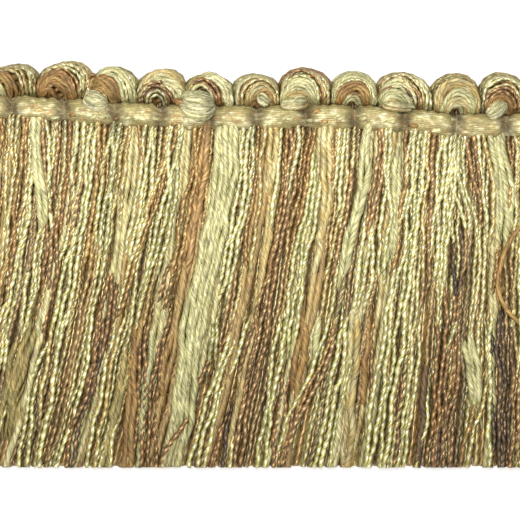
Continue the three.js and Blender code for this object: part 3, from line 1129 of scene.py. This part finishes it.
# The front of each loop, like the bundles above: number of yarns, dye and sort, then the
# places the yarns pass in the photograph. Loop 12 is beyond the picture.
# Rows in the dark dye are painted shade in the loops' hollows.
LOOP_FRONTS = """
loop 1
2 gold cord: 10 69, 19 73, 24 83, 25 100
1 celadon cord: 20 67, 28 73, 31 84, 31 100
1 olive cord: 26 67, 33 76, 35 87, 34 100
1 umber silk: 6 73, 12 79, 16 89, 16 100
2 copper silk: -9 76, 1 76, 8 83, 10 100
2 celadon silk: -8 88, -2 86, 2 91, 3 100
loop 2
1 gold cord: 39 88, 42 77, 52 69, 65 66, 77 68, 83 77, 84 92
1 celadon cord: 57 68, 69 69, 78 75, 81 84, 80 100
2 copper cord: 52 73, 65 72, 73 79, 77 89, 78 101
1 dark silk: 66 75, 71 82, 75 92, 77 101
3 umber silk: 40 97, 43 84, 52 77, 62 77, 69 86, 73 101
1 umber silk: 39 99, 43 91, 50 90, 56 101
3 copper silk: 42 96, 47 86, 56 82, 63 86, 68 94, 71 103
1 copper silk: 51 84, 58 84, 64 91, 67 102
loop 3
1 umber silk: 87 84, 90 75, 96 75
2 celadon silk: 95 78, 105 71, 116 71, 126 79, 132 91, 133 105
2 cream cord: 103 73, 114 73, 123 81, 128 91, 129 106
1 celadon silk: 106 76, 115 78, 121 87, 124 104
2 umber silk: 99 78, 108 80, 115 88, 119 103
2 copper silk: 79 97, 86 86, 96 80, 106 85, 113 95, 116 106
2 copper silk: 82 99, 88 90, 97 84, 106 90, 111 98, 113 107
1 umber silk: 86 100, 92 91, 100 91, 106 99, 108 107
loop 4
2 gold silk: 143 89, 150 79, 160 74, 169 75, 178 82, 184 95
3 celadon silk: 139 104, 142 90, 150 81, 162 79, 174 84, 181 93, 183 106
1 cream silk: 163 84, 172 86, 179 92, 182 101
2 umber cord: 138 106, 142 94, 149 87, 159 85, 168 89, 174 98, 178 108
1 gold cord: 160 86, 169 89, 175 95, 179 106
1 dark silk: 143 106, 147 95, 156 90, 165 94, 169 106
2 cream cord: 148 106, 150 97, 157 93, 163 98, 165 106
loop 5
2 olive silk: 186 98, 189 87, 196 80, 206 79
1 celadon silk: 190 100, 194 90, 202 85, 209 90, 213 103
1 dark silk: 202 85, 210 89, 215 98, 217 110
2 umber cord: 193 86, 203 82, 211 87, 217 96, 219 109
3 cream silk: 202 77, 212 77, 221 83, 227 93, 229 108
1 cream silk: 218 80, 226 88, 230 98, 231 109
loop 6
1 celadon silk: 237 109, 238 93, 243 83, 251 78, 261 78
1 umber silk: 240 109, 241 94, 246 85, 254 80, 263 80
2 gold cord: 243 109, 245 94, 250 86, 258 82, 267 84, 274 92, 277 106
2 gold silk: 247 109, 250 95, 255 89, 263 87, 270 93, 273 108
1 copper silk: 252 105, 256 94, 263 91, 270 97, 273 109
1 celadon silk: 255 102, 259 94, 265 97, 268 108
2 copper silk: 249 107, 254 101, 260 108
loop 7
1 umber cord: 283 92, 289 79, 299 71, 310 74, 318 83, 322 94, 322 107
1 gold cord: 304 72, 314 76, 320 85, 324 95, 325 107
1 gold cord: 315 77, 322 85, 327 95, 328 107
1 celadon cord: 286 84, 295 77, 305 77, 313 83, 317 92, 318 107
2 celadon silk: 282 104, 286 89, 294 82, 304 82, 312 89, 315 107
2 celadon silk: 283 102, 288 93, 297 88, 306 91, 312 99, 313 108
2 gold silk: 283 106, 289 97, 297 94, 305 98, 310 109
2 celadon silk: 284 108, 290 101, 298 99, 305 108
2 gold silk: 286 110, 292 104, 299 109
loop 8
2 celadon silk: 333 104, 336 87, 344 79, 356 76, 367 81, 373 91, 374 106
1 celadon cord: 335 100, 340 87, 350 81, 361 82, 369 90, 371 106
3 copper silk: 336 105, 340 94, 348 88, 358 87, 365 93, 368 106
1 umber silk: 341 105, 346 96, 354 93, 361 97, 364 107
2 celadon silk: 343 106, 348 99, 355 98, 361 106
loop 9
2 cream cord: 411 78, 421 84, 427 94, 428 114
2 gold cord: 382 89, 390 80, 402 77, 412 83, 419 93, 422 113
1 copper cord: 398 80, 409 85, 416 95, 419 113
1 dark silk: 397 86, 407 92, 413 102, 415 113
3 celadon silk: 381 97, 389 86, 400 85, 409 95, 412 112
1 umber silk: 376 101, 381 92, 389 89, 396 93
3 celadon silk: 379 104, 388 95, 398 96, 406 105, 408 114
2 gold silk: 380 108, 389 102, 397 104, 402 114
loop 10
1 olive cord: 434 100, 438 85, 448 79, 460 78, 471 83, 477 93, 478 112
3 gold silk: 437 113, 439 96, 447 87, 457 84, 467 88, 474 98, 475 115
1 copper silk: 440 108, 443 96, 450 90, 459 90
2 celadon silk: 442 113, 447 99, 456 93, 466 97, 471 106, 472 116
2 gold silk: 444 115, 449 105, 457 101, 465 106, 467 117
1 cream silk: 445 117, 450 108, 458 106, 463 116
loop 11
1 celadon cord: 483 102, 487 88, 496 81, 507 80, 517 86, 521 99, 522 114
1 gold cord: 485 106, 490 92, 500 86, 510 87, 517 97, 519 114
2 umber cord: 486 113, 488 99, 495 92, 504 91, 512 97, 516 106, 516 116
2 umber silk: 498 94, 507 97, 512 105, 513 116
2 copper silk: 486 110, 491 102, 499 99, 507 104, 509 116
2 celadon silk: 487 113, 493 107, 500 105, 506 114
loop 12
1 gold cord: 527 105, 530 91, 541 83, 553 83, 563 90, 567 110
2 celadon silk: 528 110, 532 97, 541 89, 552 88, 561 95, 564 112
2 umber cord: 531 112, 536 101, 545 94, 554 96, 559 104, 561 113
2 copper silk: 535 113, 540 105, 548 100, 555 106, 557 114
2 celadon silk: 539 114, 545 107, 551 108, 554 115
"""
# The loops whose yarns lie over their hollow too.
FULL_LOOPS = (5, 7, 9, 10)
# Buns, by the loop's number: the place, the half sizes across, up and out, the tilt in
# degrees, and the dyes in turn from the top down.
BUNS = {
    3: {"x": -35.0, "y": 3.2, "size": (2.0, 1.7, 0.8), "tilt": -20, "dyes": "celadon celadon cream"},
    4: {"x": -18.9, "y": 2.4, "size": (2.0, 0.3, 0.25), "tilt": -29, "dyes": "umber brown"},
    5: {"x": -16.1, "y": 2.6, "size": (2.9, 2.7, 1.1), "tilt": -8, "dyes": "celadon celadon cream celadon"},
    6: {"x": -3.6, "y": 3.1, "size": (1.1, 0.8, 0.5), "tilt": -30, "dyes": "celadon cream"},
    7: {"x": 1.9, "y": 2.6, "size": (2.4, 1.0, 0.7), "tilt": 4, "dyes": "celadon gold"},
    9: {"x": 21.3, "y": 2.1, "size": (2.9, 0.7, 0.5), "tilt": -10, "dyes": "celadon gold"},
    11: {"x": 39.6, "y": 1.4, "size": (2.0, 1.2, 0.5), "tilt": 38, "dyes": "celadon cream"},
}
print(len(RIMS), "loops,", len(BUNS), "buns")

# %% The rim's arches
LOOP_FOOT = 1.15
# The height where an arch's legs end and its curve begins, in the middle and outside.
INNER_SPRING = 2.2
OUTER_SPRING = 5.4
LEG_SHARE = 0.16
YARN_INSET = 0.36
LOWEST = 0.1
# A loop's thickness at its foot and above, and how far above the heading each begins.
FOOT_THICK = 3.0
CROWN_THICK = 5.0
THICK_FROM = 2.0
THICK_TO = 3.8


def swelling(x, y):
    """0 at a loop's foot and 1 where it has its full thickness."""
    return smooth(np.clip((y - rise(x) - THICK_FROM) / (THICK_TO - THICK_FROM), 0, 1))


def arch(loop, middle, reach, depth):
    """A path up one leg, over the arch and down the other. reach is 0 inside and 1 outside."""
    t = np.linspace(0, 1, 60)
    over = np.clip((t - LEG_SHARE) / (1 - 2 * LEG_SHARE), 0, 1)
    up = np.clip(np.minimum(t, 1 - t) / LEG_SHARE, 0, 1)
    high = np.sin(np.pi * over)
    half = loop["width"] / 2 - YARN_INSET
    x = middle - half * reach * np.cos(np.pi * over) + loop["skew"] * reach * high * high
    crown = loop["crown"] - OUTER_SPRING - YARN_INSET
    spring = mix(INNER_SPRING, OUTER_SPRING, reach)
    y = rise(x) + mix(LOOP_FOOT, spring, up) + crown * reach * high
    z = depth * mix(FOOT_THICK, CROWN_THICK, swelling(x, y))
    return np.stack([x, y, np.maximum(z, YARN_INSET + LOWEST)], axis=1)


# %% Buns
BUN = {
    "level": 4.2, "dim": 0.7, "shades": (0.85, 1.2), "widths": (0.55, 0.75), "turn": 6,
    "fan": 1.3, "uneven": 0.1, "bulges": (0.6, 0.9), "reaches": (0.85, 1.05), "shift": 0.15,
    "sag": 0.25, "lifts": (-0.12, 0.2),
}


def bun(row, random):
    """Yarns that run from side to side and bulge over the front, turned by a tilt."""
    yarns = []
    wide, high, out = row["size"]
    dyes = row["dyes"].split()
    t = np.linspace(0, 1, 40)
    count = max(3, round(5 * high + 2))
    fan = np.linspace(BUN["fan"], -BUN["fan"], count)
    for i, angle in enumerate(fan + random.uniform(-BUN["uneven"], BUN["uneven"], count)):
        tilt = math.radians(row["tilt"] + random.uniform(-BUN["turn"], BUN["turn"]))
        bulge = np.sin(np.pi * t) ** random.uniform(*BUN["bulges"])
        shift = random.uniform(-BUN["shift"], BUN["shift"])
        along = wide * (shift - random.uniform(*BUN["reaches"]) * np.cos(np.pi * t))
        up = high * math.sin(angle) * bulge - BUN["sag"] * high * bulge
        x = row["x"] + along * math.cos(tilt) - up * math.sin(tilt)
        y = row["y"] + along * math.sin(tilt) + up * math.cos(tilt)
        z = BUN["level"] + out * math.cos(angle) * bulge + random.uniform(*BUN["lifts"])
        path = np.stack([x, y, z], axis=1)
        dim = BUN["dim"] * random.uniform(*BUN["shades"])
        width = random.uniform(*BUN["widths"])
        dye = dyes[i * len(dyes) // count]
        yarns.append(yarn(path, "floss", dye, random, width=width, dim=dim, taper=(1, 1)))
    return yarns


# %% The yarns on the front
# How the front of a loop stands out: most along its ring, less at the rim and in the hollow.
RING = {"foot": 2.0, "middle": 0.58, "outer": 1.05, "rim": 0.58, "hollow": 0.75, "out": 4.45}
FRONT_FOOT = 2.5
# How a row's yarns lie side by side there. They draw together at their ends, and each row
# lies on the one before it.
ROWS = {
    "spacing": {"cord": 0.76, "silk": 0.6}, "width": {"cord": 0.78, "silk": 0.66},
    "widths": (0.85, 1.15), "draw": 0.7, "loose": 0.16, "loose_wave": 8, "lift": 0.05,
    "uneven": 0.12, "taper": (0.6, 0.6), "dim": 0.81,
}


def front_level(loop, middle, full, x, y):
    """How far out the front of a loop stands at a place on it."""
    up = np.maximum(0, (y - rise(x) - RING["foot"]) / (loop["crown"] - RING["foot"]))
    ring = np.hypot((x - middle) / (loop["width"] / 2), up)
    past = np.clip((ring - RING["middle"]) / (RING["outer"] - RING["middle"]), 0, 1)
    hollow = 0 if full else (1 - RING["hollow"]) * np.clip(1 - ring / RING["middle"], 0, 1)
    level = RING["out"] * (mix(RING["rim"], 1, np.sqrt(1 - past ** 2)) - hollow)
    return mix(FRONT_FOOT, level, swelling(x, y))


def front_yarns(rows, loop, middle, full, random):
    """The yarns on the front of one loop, side by side along each row's places."""
    yarns = []
    for k, row in enumerate(rows):
        look, course_text = row.split(":")
        count, dye, sort = look.split()
        places = np.array([from_photo(*map(float, part.split())) for part in course_text.split(",")])
        far = np.concatenate([[0], np.cumsum(np.linalg.norm(np.diff(places, axis=0), axis=1))])
        at = np.linspace(0, far[-1], 44)
        flat = np.stack([through(far, places[:, 0], at), through(far, places[:, 1], at)], axis=1)
        ahead = np.gradient(flat, axis=0)
        ahead /= np.linalg.norm(ahead, axis=1, keepdims=True)
        aside = np.stack([-ahead[:, 1], ahead[:, 0]], axis=1)
        draw = mix(ROWS["draw"], 1, np.sin(np.pi * at / far[-1]))
        for i in range(int(count)):
            off = (i - (int(count) - 1) / 2) * ROWS["spacing"][sort] * draw
            off = off + ROWS["loose"] * drift(random, at, ROWS["loose_wave"])
            x, y = (flat + aside * off[:, None]).T
            lift = ROWS["lift"] * k
            z = front_level(loop, middle, full, x, y) + lift + random.uniform(-ROWS["uneven"], ROWS["uneven"])
            width = ROWS["width"][sort] * random.uniform(*ROWS["widths"])
            path = np.stack([x, y, z], axis=1)
            yarns.append(yarn(path, sort, dye, random, width=width, dim=ROWS["dim"], taper=ROWS["taper"]))
    return yarns


fronts = []
for line in LOOP_FRONTS.strip().splitlines():
    if line.startswith("loop"):
        fronts.append([])
    else:
        fronts[-1].append(line)
print([len(rows) for rows in fronts], "rows of yarns on the loops' fronts")

# %% The loops
RIM = {
    "angles": (-0.12, 0.5), "reach": 0.98, "depths": (0.3, 0.9), "uneven": 0.03, "loose": 0.15,
    "waves": (9, 7), "width": 0.95, "dim": 0.71,
}
# Short yarns in the dark dye, painted shade, fill the hollow between a loop's legs, down to the heading.
HOLLOW = {"yarns": 6, "half": 1.3, "bottom": -1, "top": 4.2, "level": 1.8}
# Plain arches close the back and fill the inside.
BACK_ARCHES = {"reaches": (1.04, 0.8, 0.55, 0.3), "depth": 0.16, "dim": 0.7, "width": 1.1}
FILL_ARCHES = {"reaches": (0.85, 0.62, 0.4, 0.2), "depth": 0.55, "dim": 0.8, "width": 1.3}


def rim_yarn(loop, middle, dye, angle, random):
    """One cord of a loop's rim, at an angle round the bundle from its outermost yarn."""
    reach = mix(0, RIM["reach"], (1 + math.cos(angle)) / 2)
    depth = mix(*RIM["depths"], max(0, math.sin(angle))) + RIM["uneven"] * random.uniform(-1, 1)
    path = arch(loop, middle, reach, depth)
    loose = [drift(random, path[:, 0], wave) for wave in RIM["waves"]]
    path[:, :2] += RIM["loose"] * np.stack(loose, axis=1)
    return yarn(path, "cord", dye, random, width=RIM["width"], dim=RIM["dim"])


random = np.random.default_rng(47)
for i, (loop, middle) in enumerate(zip(LOOPS, middles)):
    rim = RIMS[i].split()
    angles = np.linspace(*RIM["angles"], len(rim))
    yarns = [rim_yarn(loop, middle, dye, angle, random) for dye, angle in zip(rim, angles)]
    for x in np.linspace(-HOLLOW["half"], HOLLOW["half"], HOLLOW["yarns"]) + middle:
        y = np.linspace(HOLLOW["bottom"], HOLLOW["top"], 12) + rise(x)
        path = np.stack([np.full_like(y, x), y, np.full_like(y, HOLLOW["level"])], axis=1)
        yarns.append(yarn(path, "plain", "dark", random))
    for arches, dye in ((BACK_ARCHES, rim[0]), (FILL_ARCHES, "copper")):
        for reach in arches["reaches"]:
            path = arch(loop, middle, reach, arches["depth"])
            yarns.append(yarn(path, "plain", dye, random, dim=arches["dim"], width=arches["width"]))
    yarns += front_yarns(fronts[i], loop, middle, i + 1 in FULL_LOOPS, random)
    if i + 1 in BUNS:
        yarns += bun(BUNS[i + 1], random)
    name = f"loop_{i + 1:02d}"
    join_yarns(name + "_yarns", yarns, name)

# %% [markdown]
# ## The ribbon
#
# A narrow satin ribbon covers the heading. Stitches at each loop's middle pull it down and
# narrow, and between them it swells over the yarns. It is one long grid of faces, whose
# points are moved to that course, and Solidify gives it its thickness. Small pleats run out
# from each stitch, and soft folds wander along it between them.

# %% Ribbon
RIBBON = {"half": 2.25, "pinch": 0.4, "edge": 3.45, "dome": 1.1, "swell": 0.32, "thick": 0.3}
CREASE = {"width": 1.05, "sink": 0.3, "flat": 0.25}
PLEAT = {"height": 0.12, "wave": 1.1, "reach": 2.6, "slant": 0.08}
FOLD = {"height": 0.07, "wave": 1.5}
EDGE_WAVE = 0.17
STEPS_PER_LOOP = 38
STEPS_ACROSS = 22


def near_stitch(x, width):
    """1 at a stitch, and nothing at a few times this width from it."""
    return np.exp(-((from_stitch(x) / width) ** 2))


def rows_of(row, half, v):
    """Ridges or folds that run along the ribbon, side by side across it."""
    return row["height"] * np.cos(2 * np.pi * half * v / row["wave"])


def ribbon_surface(x, v):
    """The ribbon's front at x along the heading and v across it, from -1 to 1."""
    tight = near_stitch(x, CREASE["width"])
    half = RIBBON["half"] - RIBBON["pinch"] * tight
    # Waves whose lengths have nothing in common never repeat.
    uneven = np.sin(1.9 * x + 2.1 * v) * np.sin(0.83 * x) + 0.6 * np.sin(3.7 * x - 1.3 * v)
    slant = 0.35 * np.sin(0.31 * x + 1) + 0.2 * np.sin(0.9 * x)
    y = rise(x) + half * v + EDGE_WAVE * uneven * v * v
    dome = RIBBON["dome"] * mix(1, CREASE["flat"], tight)
    z = RIBBON["edge"] + dome * (1 - np.abs(v) ** 2.6) + RIBBON["swell"] * swell(x) * (1 - v * v)
    z = z - CREASE["sink"] * tight
    pleats = near_stitch(x, PLEAT["reach"])
    z = z + pleats * rows_of(PLEAT, half, v + PLEAT["slant"] * x)
    return y, z + (1 - pleats) * rows_of(FOLD, half, v + slant)


deselect()
bpy.ops.mesh.primitive_grid_add(
    x_subdivisions=STEPS_PER_LOOP * len(LOOPS), y_subdivisions=STEPS_ACROSS, size=2)
ribbon = bpy.context.object
ribbon.name = "ribbon_satin"
flat = np.array([vertex.co for vertex in ribbon.data.vertices])
x, v = flat[:, 0] * heading_length / 2, flat[:, 1]
y, z = ribbon_surface(x, v)
uv = ribbon.data.uv_layers.active
uv.name = "ribbon"
# U and V are in ribbon widths, so the weave isn't stretched.
place = (np.array([flat[loop.vertex_index] for loop in ribbon.data.loops]) + 1) / 2
uv_rows = np.stack([place[:, 0] * heading_length / (2 * RIBBON["half"]), place[:, 1]], axis=1)
uv.data.foreach_set("uv", uv_rows.ravel())
print("ribbon grid", len(flat), "points")

# %% [markdown]
# The satin is sheer, so yarns that lie under it show through as pale and copper spots, more
# of them in its lower half, and lift it a little. In the creases it gets a dull grey painted shade.

# %% What shows through the ribbon
# The satin's dye, and the grey of the painted shade in its creases.
SATIN_COLOURS = {"face": (0.37, 0.31, 0.125), "crease_shade": (0.14, 0.105, 0.055)}
# Each dye that shows, how strongly, and how often.
SPOT_DYES = [
    ((0.82, 0.77, 0.47), 0.85), ((0.62, 0.52, 0.24), 0.6),
    ((0.42, 0.20, 0.07), 0.6), ((0.20, 0.14, 0.06), 0.5),
]
SPOT_CHANCES = [0.42, 0.2, 0.16, 0.22]
SPOTS = {"count": 560, "longs": (0.25, 0.7), "highs": (0.14, 0.28), "lift": 0.07}
# A spot's place across the ribbon: from, most often and to.
SPOT_ACROSS = (-1, -0.45, 0.9)
# Painted shade in the creases beside each stitch: how strong, how far it reaches, how uneven, and at most.
CREASE_SHADE_SPREAD = {"strength": 0.8, "reach": 1.45, "uneven": 0.3, "most": 0.95}

random = np.random.default_rng(71)
rgb = np.tile(np.array(SATIN_COLOURS["face"]), (len(x), 1))
for k in range(SPOTS["count"]):
    at_x = random.uniform(-heading_length / 2, heading_length / 2)
    at_v = random.triangular(*SPOT_ACROSS)
    long, high = random.uniform(*SPOTS["longs"]), random.uniform(*SPOTS["highs"])
    dye, strength = SPOT_DYES[random.choice(len(SPOT_DYES), p=SPOT_CHANCES)]
    near = np.abs(x - at_x) < 3 * long
    away = ((x[near] - at_x) / long) ** 2 + ((v[near] - at_v) * RIBBON["half"] / high) ** 2
    share = strength * np.exp(-away)
    rgb[near] = mix(rgb[near], np.array(dye), share[:, None])
    z[near] += SPOTS["lift"] * share
# The painted crease shade beside each stitch.
near_crease = near_stitch(x, CREASE_SHADE_SPREAD["reach"]) * (1 + CREASE_SHADE_SPREAD["uneven"] * np.sin(3.1 * v + 1.7 * x))
crease_shade_share = np.clip(CREASE_SHADE_SPREAD["strength"] * near_crease, 0, CREASE_SHADE_SPREAD["most"])
rgb = mix(rgb, np.array(SATIN_COLOURS["crease_shade"]), crease_shade_share[:, None])
rgba = np.concatenate([rgb, np.ones((len(rgb), 1))], axis=1)
ribbon.data.attributes.new("dye", "FLOAT_COLOR", "POINT").data.foreach_set("color", rgba.ravel())
ribbon.data.vertices.foreach_set("co", (np.stack([x, y, z], axis=1) * MM).ravel())
ribbon.data.update()
wall = ribbon.modifiers.new("thickness", "SOLIDIFY")
wall.thickness = RIBBON["thick"] * MM
wall.offset = -1
bpy.context.view_layer.objects.active = ribbon
ribbon.select_set(True)
bpy.ops.object.modifier_apply(modifier="thickness")
bpy.ops.object.shade_smooth()
print("ribbon", len(ribbon.data.polygons), "faces")

# %% [markdown]
# The satin's weave is in its material: fine ribs along its length with painted shade between
# them, short glints across them, which are glossier grain with a painted glint in its colour,
# and slow cloudy patches. The colours above, dye and painted crease shade, give the colour.

# %% Satin
RIBS = 13
RIB_SHADES = (0.86, 1.06)
GRAIN_AND_GLINT = {"scale": (9, 11, 1), "noise": (0.35, 0.65), "shades": (0.84, 1.18), "roughness": (0.55, 0.36)}
CLOUDS = {"scale": (1.6, 2.2, 1), "noise": (0.3, 0.7), "shades": (0.82, 1.15)}
WEAVE_RELIEF = 0.06
WEAVE_STRENGTH = 0.4
SHEEN = 0.3

satin = bpy.data.materials.new("ribbon_satin")
satin.use_nodes = True
tree = satin.node_tree
shader = tree.nodes["Principled BSDF"]
uv_node = tree.nodes.new("ShaderNodeUVMap")
uv_node.uv_map = "ribbon"
split = tree.nodes.new("ShaderNodeSeparateXYZ")
tree.links.new(uv_node.outputs["UV"], split.inputs["Vector"])
ribs = maths(tree, "SINE", maths(tree, "MULTIPLY", split.outputs["Y"], 2 * math.pi * RIBS))
grain_and_glint = noise(tree, stretched(tree, uv_node.outputs["UV"], GRAIN_AND_GLINT["scale"]))
cloudy = noise(tree, stretched(tree, uv_node.outputs["UV"], CLOUDS["scale"]))
# The dye attribute holds the satin's colour, its spots and its painted crease shade.
dye = tree.nodes.new("ShaderNodeAttribute")
dye.attribute_name = "dye"
# Painted shade between the ribs and a painted glint in the grain; the clouds are the satin's own uneven tone.
shade = ranged(tree, ribs, -1, 1, *RIB_SHADES)
shade = maths(tree, "MULTIPLY", shade, ranged(tree, cloudy, *CLOUDS["noise"], *CLOUDS["shades"]))
shade = maths(tree, "MULTIPLY", shade, ranged(tree, grain_and_glint, *GRAIN_AND_GLINT["noise"], *GRAIN_AND_GLINT["shades"]))
tree.links.new(tinted(tree, dye.outputs["Color"], shade), shader.inputs["Base Color"])
tree.links.new(ranged(tree, grain_and_glint, *GRAIN_AND_GLINT["noise"], *GRAIN_AND_GLINT["roughness"]), shader.inputs["Roughness"])
shader.inputs["Metallic"].default_value = SHEEN
relief = tree.nodes.new("ShaderNodeBump")
relief.inputs["Strength"].default_value = WEAVE_STRENGTH
relief.inputs["Distance"].default_value = WEAVE_RELIEF * MM
tree.links.new(maths(tree, "ADD", ribs, grain_and_glint), relief.inputs["Height"])
tree.links.new(relief.outputs["Normal"], shader.inputs["Normal"])
ribbon.data.materials.append(satin)
finish_piece(ribbon, "ribbon")

# %% [markdown]
# ## Stitches
#
# Two thin dull threads cross the ribbon at each loop's middle and pull it down. Between them
# bits of the loops' yarns are caught in the stitching and show on the ribbon's face.

# %% Stitches
STITCH = {"width": 0.2, "sides": (-0.25, 0.2), "slant": 0.25, "past": (1.06, -1.1), "sink": 0.05, "dive": 0.9}

random = np.random.default_rng(61)
yarns = []
for middle in middles:
    for side in STITCH["sides"]:
        v = np.linspace(*STITCH["past"], 30)
        on_ribbon = np.clip(v, -1, 1)
        x = middle + side + random.uniform(-STITCH["slant"], STITCH["slant"]) * v
        y, z = ribbon_surface(x, on_ribbon)
        y = y + (v - on_ribbon) * RIBBON["half"]
        z = z - STITCH["sink"] - STITCH["dive"] * (np.abs(v) > 1.0)
        yarns.append(yarn(np.stack([x, y, z], axis=1), "plain", "umber", random, width=STITCH["width"]))
join_yarns("ribbon_stitches", yarns, "ribbon")

# %% Caught yarns
# Where a bit of yarn shows on the ribbon, how long it is, and its dye.
CAUGHT = [
    (-45.6, 1.1, 1.8, "gold"), (-42.8, -0.2, 1.5, "celadon"), (-39.5, 0.2, 1.0, "copper"),
    (-35.7, -0.1, 1.4, "celadon"), (-34.0, -0.1, 1.2, "celadon"), (-31.5, -0.4, 0.8, "brown"),
    (-29.3, -0.4, 1.6, "celadon"), (-26.6, -0.5, 1.8, "cream"), (-24.0, -0.5, 1.4, "celadon"),
    (-20.5, -1.4, 1.0, "copper"), (-2.9, -1.1, 1.4, "cream"), (1.0, -0.6, 1.4, "celadon"),
    (6.1, 0.9, 1.2, "copper"), (4.8, -0.9, 1.2, "celadon"), (7.6, -0.9, 1.1, "brown"),
    (10.6, -0.4, 1.6, "celadon"), (14.9, -0.5, 1.4, "celadon"), (19.6, -0.9, 2.2, "cream"),
    (24.3, -1.7, 1.4, "copper"), (28.6, -2.6, 1.6, "celadon"), (32.0, -0.4, 1.4, "cream"),
]
# Such a bit comes up out of the ribbon, arches over it and sinks in again.
BIT = {"width": 0.62, "sunk": 0.22, "arch": 0.3, "bend": 0.12, "waves": 3, "points": 20}

yarns = []
for at_x, at_y, length, dye in CAUGHT:
    x = at_x + np.linspace(-length / 2, length / 2, BIT["points"])
    v = np.clip((at_y - rise(x)) / RIBBON["half"], -0.95, 0.95)
    y, z = ribbon_surface(x, v)
    y = y + BIT["bend"] * np.sin(BIT["waves"] * x)
    z = z - BIT["sunk"] + BIT["arch"] * np.sin(np.pi * np.linspace(0, 1, BIT["points"]))
    yarns.append(yarn(np.stack([x, y, z], axis=1), "silk", dye, random, width=BIT["width"]))
join_yarns("caught_yarns", yarns, "ribbon")

# %% Finish
low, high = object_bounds()
print("visual box in metres:", [round(v, 4) for v in (*low, *high)])
